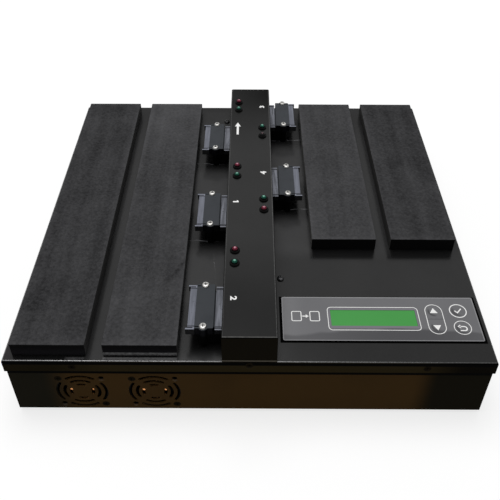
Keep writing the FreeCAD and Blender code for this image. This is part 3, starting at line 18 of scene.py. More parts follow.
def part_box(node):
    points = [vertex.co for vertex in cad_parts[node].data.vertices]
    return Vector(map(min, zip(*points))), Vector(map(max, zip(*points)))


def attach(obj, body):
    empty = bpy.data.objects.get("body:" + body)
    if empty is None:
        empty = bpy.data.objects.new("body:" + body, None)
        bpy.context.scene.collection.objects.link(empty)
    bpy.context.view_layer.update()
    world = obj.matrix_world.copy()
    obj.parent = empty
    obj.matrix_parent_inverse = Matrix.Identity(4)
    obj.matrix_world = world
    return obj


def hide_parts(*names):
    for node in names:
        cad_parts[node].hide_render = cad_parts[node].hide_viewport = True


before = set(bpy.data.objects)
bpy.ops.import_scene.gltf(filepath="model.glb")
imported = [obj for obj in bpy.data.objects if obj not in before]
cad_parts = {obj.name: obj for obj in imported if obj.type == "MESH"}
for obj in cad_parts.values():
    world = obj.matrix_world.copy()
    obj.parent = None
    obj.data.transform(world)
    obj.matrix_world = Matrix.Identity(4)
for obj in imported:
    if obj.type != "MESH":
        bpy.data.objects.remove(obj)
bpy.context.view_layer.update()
MM = 0.001


def span(node):
    """Lowest and highest corner of a CAD node, as two numpy arrays in metres."""
    low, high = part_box(node)
    return np.array(low), np.array(high)


def centre_of(node):
    """Middle of a CAD node's box, in metres."""
    low, high = span(node)
    return (low + high) / 2


TOP = span("top_cover")[1][2]
RIDGE_TOP = span("ridge_housing")[1][2]
RIDGE_HALF = span("ridge_housing")[1][0]
PANEL_TOP = span("control_panel")[1][2]
print(f"cover at {TOP / MM:.1f} mm, ridge at {RIDGE_TOP / MM:.1f} mm, panel at {PANEL_TOP / MM:.1f} mm")


def slot_line(slot):
    """Middle of a drive position, front to back, in metres."""
    return centre_of(f"adapter_body_{slot}")[1]


SLOT_PITCH = slot_line("source") - slot_line("1")
SIDE_SHIFT = slot_line("3") - slot_line("source")
print(f"drive positions every {SLOT_PITCH / MM:.1f} mm, on the right {SIDE_SHIFT / MM:.1f} mm further back")

# %% [markdown]
# ## The view
#
# The camera looks down at the case from in front and above, the way a person at a desk sees it.
# A camera in Blender looks along its own -Z, so its matrix is built from three directions: right,
# up and back. The lens is a normal one, and a small vertical shift keeps the case in the middle
# of the picture without tilting the camera further.

# %% Camera


def looking(place, yaw, pitch, roll):
    """A camera matrix: yaw turns left from +Y, pitch looks down, roll tilts, all in degrees."""
    yaw, pitch, roll = (math.radians(angle) for angle in (yaw, pitch, roll))
    ahead = Vector((-math.sin(yaw) * math.cos(pitch), math.cos(yaw) * math.cos(pitch), -math.sin(pitch)))
    right = Vector((math.cos(yaw), math.sin(yaw), 0))
    up = right.cross(ahead)
    right, up = right * math.cos(roll) - up * math.sin(roll), right * math.sin(roll) + up * math.cos(roll)
    return Matrix.Translation(place) @ Matrix((right, up, -ahead)).transposed().to_4x4()


camera_data = bpy.data.cameras.new("camera")
camera_data.sensor_width = 36
camera_data.lens = 48.98
camera_data.shift_x = 0.0064
camera_data.shift_y = -0.14
camera_data.clip_start = 0.01
camera = bpy.data.objects.new("camera", camera_data)
camera.matrix_world = looking((-0.0005, -0.4714, 0.4736), 0.297, 38.638, -0.049)
bpy.context.scene.collection.objects.link(camera)
bpy.context.scene.camera = camera
bpy.context.scene.view_settings.view_transform = "Standard"
print("camera", [round(value, 3) for value in camera.location])

# %% [markdown]
# ## Shader maths that reads like Python
#
# A finish is a network of small nodes, and wiring them by hand hides the idea. Two helpers fix
# that. `Term` wraps a socket, so `1 - mask * 0.3` adds the Math nodes that it needs. `Finish` owns
# one material, and its method `node` adds any other node from its type, settings and inputs.

# %% Helpers for materials


class Term:
    """One value in a material: arithmetic on it adds a Math node and gives a new Term."""

    def __init__(self, finish, socket):
        self.finish = finish
        self.socket = socket

    def math(self, operation, *values):
        """A Math node that works on this value and the given ones."""
        return self.finish.node("ShaderNodeMath", {"operation": operation}, dict(enumerate((self, *values))))

    def __add__(self, other):
        return self.math("ADD", other)

    __radd__ = __add__

    def __mul__(self, other):
        return self.math("MULTIPLY", other)

    __rmul__ = __mul__

    def __sub__(self, other):
        return self.math("SUBTRACT", other)

    def __rsub__(self, other):
        return self.math("MULTIPLY", -1).math("ADD", other)

    def __pow__(self, other):
        return self.math("POWER", other)

    def __abs__(self):
        return self.math("ABSOLUTE")

    def above(self, edge, soft):
        """0 below the edge and 1 above it, with a smooth step of the given width."""
        return self.finish.node("ShaderNodeMapRange", {"interpolation_type": "SMOOTHSTEP"},
                                {"Value": self, "From Min": edge - soft / 2, "From Max": edge + soft / 2})

    def below(self, edge, soft):
        """1 below the edge and 0 above it."""
        return 1 - self.above(edge, soft)


class Net:
    """A node tree that is built by adding one node at a time and keeping its output as a Term."""

    def __init__(self, tree):
        self.nodes = tree.nodes
        self.links = tree.links

    def feed(self, socket, value):
        """Join a Term to a socket, or set the socket to a constant."""
        if isinstance(value, Term):
            self.links.new(value.socket, socket)
        else:
            socket.default_value = value

    def node(self, kind, settings=None, inputs=None, output=0):
        """Add a node: settings first, such as a Math node's operation, then its sockets."""
        node = self.nodes.new(kind)
        for name, value in (settings or {}).items():
            setattr(node, name, value)
        for name, value in (inputs or {}).items():
            self.feed(node.inputs[name], value)
        return Term(self, node.outputs[output])

    def blend(self, factor, first, second):
        """A colour between two, by a Term from 0 to 1."""
        first, second = [(*color, 1) if isinstance(color, tuple) else color for color in (first, second)]
        return self.node("ShaderNodeMix", {"data_type": "RGBA"}, {0: factor, 6: first, 7: second}, output=2)

    def split(self, vector):
        """The X, Y and Z of a vector, as three Terms."""
        parts = self.nodes.new("ShaderNodeSeparateXYZ")
        self.feed(parts.inputs[0], vector)
        return [Term(self, output) for output in parts.outputs]

    def backdrop(self):
        """1 for a ray that shows the backdrop: straight from the camera, or off metal or through glass."""
        rays = ("Is Camera Ray", "Is Glossy Ray", "Is Transmission Ray")
        camera, glossy, through = [self.node("ShaderNodeLightPath", output=ray) for ray in rays]
        return (camera + glossy + through).math("MINIMUM", 1)


class Finish(Net):
    """A material with one Principled shader; keyword values are constants on its sockets."""

    def __init__(self, name, color, roughness=0.5, **constants):
        self.material = bpy.data.materials.new(name)
        self.material.use_nodes = True
        super().__init__(self.material.node_tree)
        self.shader = self.nodes["Principled BSDF"]
        self.put("Base Color", (*color, 1))
        self.put("Roughness", roughness)
        for socket, value in constants.items():
            self.put(socket.replace("_", " ").title().replace("Ior", "IOR"), value)

    def put(self, socket, value):
        """Set a socket of the shader to a constant or a Term."""
        self.feed(self.shader.inputs[socket], value)

    def where(self, stretch=(1, 1, 1)):
        """The point on the object, in metres, stretched along each axis."""
        place = self.node("ShaderNodeTexCoord", output="Object")
        if stretch == (1, 1, 1):
            return place
        return self.node("ShaderNodeVectorMath", {"operation": "MULTIPLY"}, {0: place, 1: stretch})

    def axes(self):
        """The point's X, Y and Z, as three Terms in metres."""
        return self.split(self.where())

    def facing(self):
        """The X, Y and Z of the way the surface faces, from -1 to 1."""
        return self.split(self.node("ShaderNodeTexCoord", output="Normal"))

    def slot_place(self):
        """Distance behind the middle of the nearest drive position, in metres, on both sides of the ridge."""
        across, along, _ = self.axes()
        behind = along - slot_line("source") - across.above(0, 0.001) * SIDE_SHIFT
        return behind.math("WRAP", SLOT_PITCH / 2, -SLOT_PITCH / 2)

    def grain(self, size, detail=2.0, stretch=(1, 1, 1), rough=0.5):
        """Soft random values around 0.5 whose lumps are about `size` metres across."""
        return self.node("ShaderNodeTexNoise", None, {"Vector": self.where(stretch), "Scale": 1 / size,
                                                      "Detail": detail, "Roughness": rough})

    def cells(self, size):
        """Distance to the nearest of many scattered points, about `size` metres apart."""
        return self.node("ShaderNodeTexVoronoi", None, {"Vector": self.where(), "Scale": 1 / size})

    def tint(self, low, high, factor):
        """Colour the shader between two colours."""
        self.put("Base Color", self.blend(factor, low, high))

    def bump(self, height, depth, strength=1.0, then=None):
        """Press a height of 0 to 1 into the surface, `depth` metres deep; `then` goes on top."""
        inputs = {"Height": height, "Distance": depth, "Strength": strength}
        if then is not None:
            inputs["Normal"] = then
        normal = self.node("ShaderNodeBump", None, inputs)
        self.put("Normal", normal)
        return normal

    def onto(self, *pieces):
        """Give this finish to CAD nodes, by name, or to new pieces."""
        for piece in pieces:
            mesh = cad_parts[piece].data if isinstance(piece, str) else piece.data
            mesh.materials.clear()
            mesh.materials.append(self.material)
        return self


print("helpers: Term for one value, Net for a node tree, Finish for a material")

# %% [markdown]
# ## Surfaces from arrays
#
# Each new piece is a grid of points worked out by numpy in one go. A grid of rows and columns
# becomes a mesh by joining neighbours. Every row is a closed loop. The rows may close up too, as
# in a ring, and otherwise the first and the last row get one flat face each.

# %% Helpers for meshes


def make_piece(name, points, faces, body="case"):
    """Turn points and faces into an object that moves with a body of the CAD model."""
    mesh = bpy.data.meshes.new(name)
    mesh.from_pydata(np.asarray(points, float).reshape(-1, 3).tolist(), [], faces)
    mesh.update()
    piece = bpy.data.objects.new(name, mesh)
    bpy.context.scene.collection.objects.link(piece)
    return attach(piece, body)


def grid_faces(rows, columns, wrap_rows=False, start=0):
    """Quads between each row and the next; the last row joins the first, or both ends get a flat face."""
    index = np.arange(rows * columns).reshape(rows, columns) + start
    here = index if wrap_rows else index[:-1]
    down = np.roll(index, -1, 0) if wrap_rows else index[1:]
    faces = np.stack([here, np.roll(here, -1, 1), np.roll(down, -1, 1), down], -1).reshape(-1, 4).tolist()
    if not wrap_rows:
        faces += [index[0, ::-1].tolist(), index[-1].tolist()]
    return faces


def plate_points(outline, low, high):
    """A flat plate: the outline's points (anticlockwise) once at the low level and once at the high."""
    outline = np.asarray(outline, float)
    levels = [np.c_[outline, np.full(len(outline), level)] for level in (low, high)]
    return np.stack(levels)


def strip_points(path, side, low, high):
    """Four corners at each point of a path: `side` to its right and to its left, low and high."""
    corners = [(side, low), (side, high), (-side, high), (-side, low)]
    return np.stack([np.c_[path + offset, np.full(len(path), level)] for offset, level in corners], 1)


def band_points(path, width, low, high):
    """A closed band: each point moved by half the width, square to the line between its neighbours."""
    path = np.asarray(path, float)
    ahead = np.roll(path, -1, 0) - np.roll(path, 1, 0)
    ahead /= np.linalg.norm(ahead, axis=1)[:, None]
    return strip_points(path, np.c_[ahead[:, 1], -ahead[:, 0]] * width / 2, low, high)


def rounded_outline(half_x, half_y, radius, steps=8):
    """A rounded rectangle, anticlockwise: four quarter circles round the corners' centres."""
    angles = np.linspace(0, math.pi / 2, steps + 1)
    points = []
    for quarter, (sign_x, sign_y) in enumerate(((1, 1), (-1, 1), (-1, -1), (1, -1))):
        turned = angles + quarter * math.pi / 2
        points.append(np.c_[sign_x * (half_x - radius) + radius * np.cos(turned),
                            sign_y * (half_y - radius) + radius * np.sin(turned)])
    return np.concatenate(points)


def circle_outline(radius, steps=64):
    """A circle, anticlockwise: radius times the cosine and the sine of evenly spaced angles."""
    angles = np.linspace(0, 2 * math.pi, steps, endpoint=False)
    return np.c_[radius * np.cos(angles), radius * np.sin(angles)]


def several(name, grids, body="case", wrap_rows=False):
    """One piece made of several closed grids."""
    faces, start = [], 0
    for grid in grids:
        rows, columns = grid.shape[:2]
        faces += grid_faces(rows, columns, wrap_rows=wrap_rows, start=start)
        start += rows * columns
    points = np.concatenate([grid.reshape(-1, 3) for grid in grids])
    return make_piece(name, points, faces, body)


print("faces of a plate with 4 corners:", len(grid_faces(2, 4)))
print("faces of a ring in 64 steps:", len(grid_faces(64, 4, wrap_rows=True)))

# %% [markdown]
# ## Powder-coated steel
#
# The case is bent from steel sheet and coated with black powder. The sheets are sprayed lying flat,
# so the coat is thicker and glossier on the faces that look up than on those that hang down. The
# gloss is therefore a clear coat whose weight follows the normal, and a faint orange peel and a
# fine grain are pressed into both. Upper faces, sides and fronts get their own colours, as painted
# light and shade, and the fronts' warm colour is a painted reflection. One class holds what the
# three sheets share.

# %% Powder coat

NOTHING = (0.0004, 0.0004, 0.0004)


def near(term, middle, half, soft):
    """1 where a Term is within half a width of a middle, with a soft edge."""
    return abs(term - middle).below(half, soft)


class PowderCoat(Finish):
    """Black powder coat: clear coat of weight `gloss` on upper faces; colours `top`, `side` and `front` on
    upper, side and front faces, as painted light and shade.
    """

    def __init__(self, name, top, side, front, gloss):
        super().__init__(name, top, 0.45, specular_ior_level=0.005, coat_roughness=0.2, coat_ior=2.2)
        self.across, self.along, self.up = self.axes()
        self.right, self.back, self.level = self.facing()
        cloud = self.grain(0.05, 3)
        self.fine = self.grain(0.0012, 2)
        self.laid = self.level.above(0.62, 0.6)
        self.faces_front = self.back.below(-0.7, 0.2)
        mix = cloud * 0.6 + self.fine * 0.4
        thin, thick = [tuple(value * share for value in top) for share in (0.7, 1.3)]
        # painted light and shade: upper faces, sides and fronts get their own colours; the warm fronts are a
        # painted reflection
        hanging = self.blend(self.faces_front, side, front)
        self.color = self.blend(self.laid, hanging, self.blend(mix, thin, thick))
        self.put("Roughness", 0.42 + cloud * 0.1 + self.fine * 0.05)
        hung = (1 - self.laid) * self.back.above(-0.5, 0.5) * 0.04
        self.gloss = self.laid * gloss * (0.75 + cloud * 0.3 + self.fine * 0.2) + hung
        self.bend = self.level.above(0.78, 0.16) * self.level.below(0.985, 0.02) * (self.fine * 1.6 - 0.2)
        peel = self.bump(self.grain(0.0022, 1), 0.00003, 0.25)
        self.bump(self.fine, 0.00002, 0.3, then=peel)

    def finish(self, color, weight, node):
        """Connect the colour and the weight of the clear coat, and paint a CAD node."""
        self.put("Base Color", color)
        self.put("Coat Weight", weight)
        self.onto(node)
        print("painted", node)


# %% [markdown]
# ## The cover's dark places
#
# Light does not reach the hem of the cover's flange or the gap round the control panel, and the
# flange fades towards its ends. Each of these is a mask: a Term that is 1 in its place and 0
# elsewhere, with a soft edge. Masks add and multiply as numbers do, and a blend lays a colour
# where its mask is 1. Their places come from the sheet's own edges.

# %% Masks for the cover's dark places

LEFT, FRONT, HEM = span("top_cover")[0]
RIGHT, BACK, _ = span("top_cover")[1]
PLATE_LOW, PLATE_HIGH = span("control_panel")
PLATE_MIDDLE, PLATE_HALF = (PLATE_LOW + PLATE_HIGH) / 2, (PLATE_HIGH - PLATE_LOW) / 2


def unlit(paint):
    """1 on the flange's hem and its upper edge, at its ends and in the gap round the control panel."""
    hem = near(paint.up, HEM - 0.2 * MM, 0.0007, 0.0003)
    hem = hem + near(paint.up, TOP - 2.2 * MM, 0.0016, 0.0006) * paint.level.below(0.72, 0.15)
    ends = paint.across.below(LEFT + 55 * MM, 0.05) * 0.55 + paint.across.above(RIGHT - 40 * MM, 0.04) * 0.9
    flange = (ends + hem).math("MINIMUM", 1) * paint.level.below(0.8, 0.1)
    gap_across = near(paint.across, PLATE_MIDDLE[0], PLATE_HALF[0] + 2.0 * MM, 0.0006)
    gap_along = near(paint.along, PLATE_MIDDLE[1], PLATE_HALF[1] + 1.3 * MM, 0.0008)
    return (flange + gap_across * gap_along).math("MINIMUM", 1)


print(f"flange from {HEM / MM:.1f} to {TOP / MM:.1f} mm, panel {2 * PLATE_HALF[0] / MM:.1f} mm wide")

# %% [markdown]
# ## Painted light on the cover
#
# The lanes beside the ridge and the aisles between the beds are painted paler, as painted light,
# and left out round each socket. The strip right behind the front bend has speckles of painted
# reflection before the inner left bed. Short broken lines along the brackets' feet are painted
# highlights. The right side has sockets only behind the panel, and the mask `served` keeps these
# marks to where the drives are.

# %% Masks for painted light on the cover

LANE, LANE_HALF = 36.5 * MM, 16.5 * MM
AISLE, AISLE_HALF = 113 * MM, 6.6 * MM
FOOT_LINE = -19.8 * MM
RIGHT_BED_FRONT = span("foam_pad_right_inner")[0][1]


def beside_drives(paint):
    """1 on the left of the ridge, and on its right where there are beds."""
    left = paint.across.below(0, 0.001)
    return (left + paint.along.above(RIGHT_BED_FRONT - 6.5 * MM, 0.02)).math("MINIMUM", 1)


def lit_lanes(paint, place, served):
    """Painted light: the lanes beside the ridge, left out round each socket, and at 0.7 the aisles between
    the beds.
    """
    aside = abs(paint.across)
    lane = near(aside, LANE, LANE_HALF, 0.002) * served * (1 - near(place, -8 * MM, 24 * MM, 0.018))
    aisle = near(aside, AISLE, AISLE_HALF, 0.002) * served * (0.6 + paint.along.above(-50 * MM, 0.1) * 0.4)
    return (lane + aisle * 0.7) * paint.laid * (1 - paint.along.above(BACK - 45 * MM, 0.06) * 0.45)


def bed_reflection(paint):
    """Painted reflection of the beds: pale specks along the front bend, before the inner left bed and less
    before the outer one.
    """
    bed, bed_low, bed_high = centre_of("foam_pad_left_inner"), *span("foam_pad_left_inner")
    strip = near(paint.across, bed[0], (bed_high[0] - bed_low[0]) / 2, 0.0006)
    strip = strip + near(paint.across, -127 * MM, 7 * MM, 0.002) * 0.4
    strip = strip * near(paint.along, bed_low[1] - 2.7 * MM, 0.0011, 0.0004) * paint.level.above(0.97, 0.02)
    return (strip * (paint.fine * 1.6 + paint.grain(0.003, 2) * 0.8 - 0.2)).math("MINIMUM", 1)


def foot_glints(paint, place, served):
    """Painted highlights: short bright lines along the brackets' feet, bent a little and broken by two sizes
    of grain.
    """
    wander = (paint.grain(0.014, 1) - 0.5) * 0.006
    foot = near(place + wander, FOOT_LINE, 0.0005, 0.0012) * near(abs(paint.across), 36 * MM, 15 * MM, 0.006)
    return foot * served * paint.grain(0.005, 2).above(0.50, 0.3) * paint.along.above(FRONT + 45 * MM, 0.01)


print(f"lanes {(LANE - LANE_HALF) / MM:.0f} to {(LANE + LANE_HALF) / MM:.0f} mm from the middle")

# %% [markdown]
# ## The cover
#
# The layers go on in this order: paint and painted shadow first, then the painted reflection before
# the inner left bed, the painted light in the lanes and the painted highlights at the brackets' feet.
# The clear coat loses weight in the lanes and towards the back, and gains some along the bends,
# which face the lamp at more than one angle.

# %% Paint the cover

FLANGE_BROWN = (0.031, 0.0230, 0.0100)
cover = PowderCoat("cover_paint", (0.0055, 0.0055, 0.0056), (0.010, 0.0095, 0.008), FLANGE_BROWN, 0.178)
place, served, shadow = cover.slot_place(), beside_drives(cover), unlit(cover)
lane_light = lit_lanes(cover, place, served)
skin = cover.blend(shadow, cover.color, NOTHING)
# painted reflection: pale specks before the inner left bed
skin = cover.blend(bed_reflection(cover), skin, (0.11, 0.11, 0.112))
# painted light: the lanes and aisles paler
skin = cover.blend(lane_light * (0.8 + cover.grain(0.004, 3) * 0.4), skin, (0.036, 0.036, 0.0365))
# painted highlights along the brackets' feet
skin = cover.blend(foot_glints(cover, place, served) * 0.7, skin, (0.25, 0.25, 0.265))

front_right = cover.across.above(RIDGE_HALF, 0.02) * cover.along.below(FRONT + 115 * MM, 0.03)
front_right = front_right * (0.13 - cover.along.below(FRONT + 45 * MM, 0.06) * 0.3)
far_fade = 1 - cover.along.above(BACK - 70 * MM, 0.16) * 0.35
# less clear coat in the lanes of painted light
sheet_gloss = cover.gloss * (far_fade + front_right) * (1 - lane_light * 0.35)
bend_shine = 0.5 + cover.across.below(LEFT + 135 * MM, 0.03) * 0.4
bend_shine = bend_shine + cover.across.below(LEFT + 70 * MM, 0.02) * 0.5
cover.finish(skin, (sheet_gloss + cover.bend * bend_shine) * (1 - shadow), "top_cover")

# %% [markdown]
# ## The ridge
#
# The ridge's top is brightest in the middle of its length and falls off to both ends. A speckled
# painted highlight runs along its front edge, painted shade makes a dark line under the edge, and
# where it stands on the cover a painted pale line of light lies in the fold. Its front faces carry a
# painted warm reflection.

# %% Paint the ridge

ridge_low, ridge_high = span("ridge_housing")
RIDGE_BROWN = (0.0101, 0.0083, 0.0052)
ridge = PowderCoat("ridge_paint", (0.0055, 0.0056, 0.0055), (0.008, 0.0075, 0.006), RIDGE_BROWN, 0.196)
falloff = 1.06 - ridge.along.above(ridge_high[1] - 60 * MM, 0.14) * 0.8
falloff = falloff * (1 - ridge.along.below(ridge_low[1] + 64 * MM, 0.13) * 0.56)
falloff = falloff * (1 - ridge.across * 25 * ridge.along.above(ridge_high[1] - 29 * MM, 0.04))

# painted shade: a dark line under the top edge
brow = near(ridge.up, RIDGE_TOP, 0.0012, 0.0006) * ridge.level.below(0.6, 0.2)
# painted highlight: a speckled pale strip along the front edge of the top
nose = ridge.along.below(ridge_low[1] + 0.9 * MM, 0.0004) * ridge.level.above(0.9, 0.1)
skin = ridge.blend(nose * ridge.fine * 1.3, ridge.blend(brow, ridge.color, NOTHING), (0.10, 0.10, 0.095))
# painted warm reflection on the front below the cover's top
below_cover = ridge.up.below(TOP - 0.2 * MM, 0.0004) * ridge.faces_front
skin = ridge.blend(below_cover, skin, FLANGE_BROWN)
# painted light: a pale line on the front just above the cover
fold = near(ridge.up, TOP + 0.3 * MM, 0.0006, 0.0004) * ridge.faces_front
skin = ridge.blend(fold * 0.9, skin, (0.20, 0.180, 0.145))
bend_shine = 0.28 + ridge.right.above(0, 0.1) * 0.2
ridge.finish(skin, ridge.gloss * falloff + ridge.bend * bend_shine, "ridge_housing")

# %% [markdown]
# ## The tray
#
# The tray is a warmer black than the cover. Its front carries a painted warm reflection, brownest
# in the middle of its width and greyer at the left end, and painted shade where the cover's flange
# overhangs it.

# %% Paint the tray

tray = PowderCoat("tray_paint", (0.010, 0.0085, 0.006), (0.010, 0.009, 0.006), (0.0105, 0.009, 0.0052), 0.1)
front_wall = tray.along.below(FRONT + 5 * MM, 0.004)
# painted warm reflection on the front wall, brownest in the middle of its width
brown = tray.across.above(LEFT + 39 * MM, 0.030) * tray.across.below(RIGHT - 49 * MM, 0.020) * front_wall
brown = brown * (0.72 + tray.grain(0.05, 2) * 0.6) * (1 - near(tray.across, -2 * MM, 22 * MM, 0.02) * 0.14)
# greyer at the left end of the front, within the painted reflection
skin = tray.blend(tray.across.below(LEFT + 80 * MM, 0.05) * front_wall, tray.color, (0.0165, 0.0147, 0.0097))
skin = tray.blend(brown, skin, (0.068, 0.0380, 0.0135))
# painted shade under the overhanging flange
overhung = near(tray.up, HEM - 1.6 * MM, 0.0022, 0.0006) * front_wall
tray.finish(tray.blend(overhung, skin, NOTHING), tray.gloss + tray.bend, "base_tray")

# %% [markdown]
# ## Foam beds
#
# Drives lie on four beds of dense closed-cell foam, cut from sheet. The cut faces are matt and
# mottled, with faint streaks along the length where the blade ran, and the top edges are rubbed
# paler. The bed's own shape is a rounded box carried along its length, and an attribute marks how
# near each point is to an edge, so that the finish can rub the edges.

# %% Foam shape

FOAM_RADIUS = 0.5 * MM


def bed_loop(half_x, half_z):
    """A bed's cross-section: a rounded rectangle, with 12 more points along each of its four sides."""
    rounded = rounded_outline(half_x, half_z, FOAM_RADIUS, 4)
    shares = np.linspace(0, 1, 14)[1:-1, None]
    parts = []
    for arc, following in zip(rounded.reshape(4, 5, 2), np.roll(rounded[::5], -1, 0)):
        parts += [arc, arc[-1] + (following - arc[-1]) * shares]
    return np.concatenate(parts)


def foam_bed(node, seed, bed_light):
    """A cut block: the loop carried along Y, drawn in by a quarter circle at both ends, with a wavy top."""
    low, high = span(node)
    middle, half = (high + low) / 2, (high - low) / 2
    turn = np.linspace(0, math.pi / 2, 5)
    inset = FOAM_RADIUS * (1 - np.sin(turn))
    step_in = FOAM_RADIUS * (1 - np.cos(turn))
    first, last = low[1] + step_in, high[1] - step_in[::-1]
    run = np.linspace(first[-1], last[0], 60)[1:-1]
    stations = np.r_[first, run, last]
    insets = np.r_[inset, np.zeros(len(run)), inset[::-1]]
    scale = np.stack([(half[0] - insets) / half[0], (half[2] - insets) / half[2]], 1)
    flat = bed_loop(half[0], half[2])[None] * scale[:, None]
    x = flat[..., 0] + middle[0]
    z = flat[..., 1] + middle[2]
    y = np.broadcast_to(stations[:, None], x.shape)
    share = (z - low[2]) / (high[2] - low[2])
    phase = seed * 1.7
    wave = np.sin(y * 31 + phase) * np.sin(x * 83 + phase * 2) + 0.5 * np.sin(y * 77 + x * 40 + phase)
    z = z - 0.10 * MM * (1 + wave / 1.5) / 2 * share ** 6
    # the loop runs clockwise as seen along +Y, so each row is turned over to face outwards
    points = np.stack([x, y, z], -1)[:, ::-1]
    piece = make_piece(node + "_foam", points, grid_faces(*points.shape[:2]))
    note_edges(piece, points, middle, half, bed_light)
    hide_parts(node)
    return piece


def note_edges(piece, points, middle, half, bed_light):
    """Attributes: `edge_rub` is 1 on an edge and falls by e every 1.2 mm from it; the second, the bed's
    painted light, is even.
    """
    to_side = half[:2] - np.abs(points[..., :2] - middle[:2])
    to_top = middle[2] + half[2] - points[..., 2]
    nearest = np.sort(np.stack([to_side[..., 0], to_side[..., 1], to_top]), 0)[1]
    for name, value in (("edge_rub", np.exp(-nearest / (1.2 * MM))), ("bed_light", np.full(nearest.shape, bed_light))):
        attribute = piece.data.attributes.new(name, "FLOAT", "POINT")
        attribute.data.foreach_set("value", value.reshape(-1).astype(np.float32))


# each bed's painted light: the inner beds are painted lighter, as lit more
BEDS = {"left_outer": 0.015, "left_inner": 0.15, "right_outer": 0.015, "right_inner": 0.20}
beds = [foam_bed(f"foam_pad_{place}", seed, bed_light) for seed, (place, bed_light) in enumerate(BEDS.items())]
print("foam beds:", [piece.name for piece in beds])

# %% [markdown]
# ## The foam's finish
#
# Three sizes of grain make the cut foam: speckle for the cells, a broad mottle, and streaks along
# the blade's way. They add up to one tone, and on the upper faces the tone blends from dark to grey,
# so that they are painted lighter than the sides, as lit. The sides are painted near black as shade,
# low on the left beds a dark grey. Rubbed edges and one slanting scuff come on top, with painted
# light on the flanks beside the ridge and on the lower front of the inner left bed.

# %% Foam finish

SCUFF = (-59 * MM, -92 * MM)
SCUFF_ANGLE = (0.886, 0.464)


def foam_tone(foam, speckle, across, along):
    """From 0 for open cells to 1 for grey: three grains, each bed's painted light, a paler patch at the back
    of the inner left bed, and the scuff.
    """
    mottle = foam.grain(0.035, 4)
    streak = foam.grain(0.009, 3, stretch=(1, 0.05, 1))
    # each bed's painted light, read from its attribute
    bed_light = foam.node("ShaderNodeAttribute", {"attribute_name": "bed_light"}, output="Fac")
    tone = speckle * 0.8 + mottle * 0.4 + streak * 0.4 - 0.42 + bed_light
    tone = tone + along.above(90 * MM, 0.12) * near(across, -80 * MM, 30 * MM, 0.03) * 0.18
    slant = (across - SCUFF[0]) * SCUFF_ANGLE[0] - (along - SCUFF[1]) * SCUFF_ANGLE[1]
    scuff = near(slant, 0, 0.0015, 0.006) * near(along, SCUFF[1] + 2 * MM, 0.012, 0.010)
    return tone - scuff * foam.grain(0.003, 2) * 0.5


def cut_foam():
    """Matt foam with painted light and shade: near black sides, lighter upper faces and flanks, worn paler
    edges, and a pale lower front on the inner left bed.
    """
    foam = Finish("cut_foam", (0.04, 0.04, 0.042), 0.9, specular_ior_level=0.06)
    across, along, up = foam.axes()
    to_right, _, level = foam.facing()
    speckle = foam.grain(0.0022, 3, rough=0.7)
    rub = foam.node("ShaderNodeAttribute", {"attribute_name": "edge_rub"}, output="Fac")
    # painted light and shade on the sides: dark grey low on the left beds, near black elsewhere
    low_left = across.below(0, 0.001) * up.below(TOP + 6 * MM, 0.008)
    skin = foam.blend(low_left, (0.0008, 0.0008, 0.0009), (0.0085, 0.0082, 0.0096))
    tone = foam_tone(foam, speckle, across, along) + rub * foam.grain(0.004) * 0.3
    # painted light: the upper faces lighter than the sides
    skin = foam.blend(level.above(0.5, 0.6) * tone, skin, (0.088, 0.088, 0.092))
    # painted light on the flanks, most on the inner right bed's flank beside the ridge
    inner_right = near(across, 52.5 * MM, 0.002, 0.001)
    flank = abs(to_right).above(0.7, 0.3) * (0.35 + inner_right * 0.65)
    skin = foam.blend(flank * (speckle + 0.4), skin, (0.095, 0.094, 0.092))
    # painted light on the lower front of the inner left bed
    bed, bed_front = centre_of("foam_pad_left_inner")[0], span("foam_pad_left_inner")[0][1]
    skirt = near(across, bed, 27 * MM, 0.0006) * along.below(bed_front + 0.7 * MM, 0.0004)
    skirt = skirt * up.below(TOP + 3.4 * MM, 0.0006) * (0.7 + up.above(TOP + 2 * MM, 0.003) * 0.3)
    foam.put("Base Color", foam.blend(skirt * (speckle * 1.4 - 0.1), skin, (0.30, 0.30, 0.305)))
    foam.bump(speckle, 0.00008, 0.5, then=foam.bump(foam.cells(0.0011), 0.0001, 0.35))
    return foam


cut_foam().onto(*beds)
print("foam finish on", len(beds), "beds")

# %% [markdown]
# ## Drive sockets
#
# Each drive plugs into a socket on a short adapter. The adapter's body is black plastic with a faint
# moulding texture, its upper faces painted dark grey as light. The socket and the link plug have
# upper faces painted a lighter lilac grey, streaked and specked, over black sides and dark grey
# fronts, as painted light and shade. The bracket under them is plain black.

# %% Bracket and adapter plastics


def moulded(name, color, roughness, spread=0.25, specular=0.5, lit_top=None):
    """Moulded plastic: fine mould texture, slow changes of tone, and on the upper faces an optional lighter
    colour, as painted light.
    """
    plastic = Finish(name, color, roughness, specular_ior_level=specular)
    cloud = plastic.grain(0.012, 3)
    fine = plastic.grain(0.0005, 2)
    dark, pale = [tuple(value * share for value in color) for share in (1 - spread, 1 + spread)]
    shade = cloud * 0.7 + fine * 0.3
    plastic.tint(dark, pale, shade)
    # painted light: the upper faces lighter than the sides
    if lit_top:
        laid = plastic.facing()[2].above(0.7, 0.4) * (0.55 + shade * 0.9)
        plastic.put("Base Color", plastic.blend(laid, plastic.blend(shade, dark, pale), lit_top))
    plastic.put("Roughness", roughness - 0.06 + cloud * 0.12)
    plastic.bump(fine, 0.00002, 0.35)
    return plastic


SLOTS = ("source", "1", "2", "3", "4")
moulded("bracket_plastic", (0.0015, 0.0015, 0.0015), 0.5, specular=0.015).onto(
    *[f"slot_bracket_{slot}" for slot in SLOTS])
moulded("adapter_plastic", (0.002, 0.002, 0.003), 0.5, specular=0.04, lit_top=(0.048, 0.052, 0.058)).onto(
    *[f"adapter_body_{slot}" for slot in SLOTS])
print("brackets and adapters at", len(SLOTS), "drive positions")

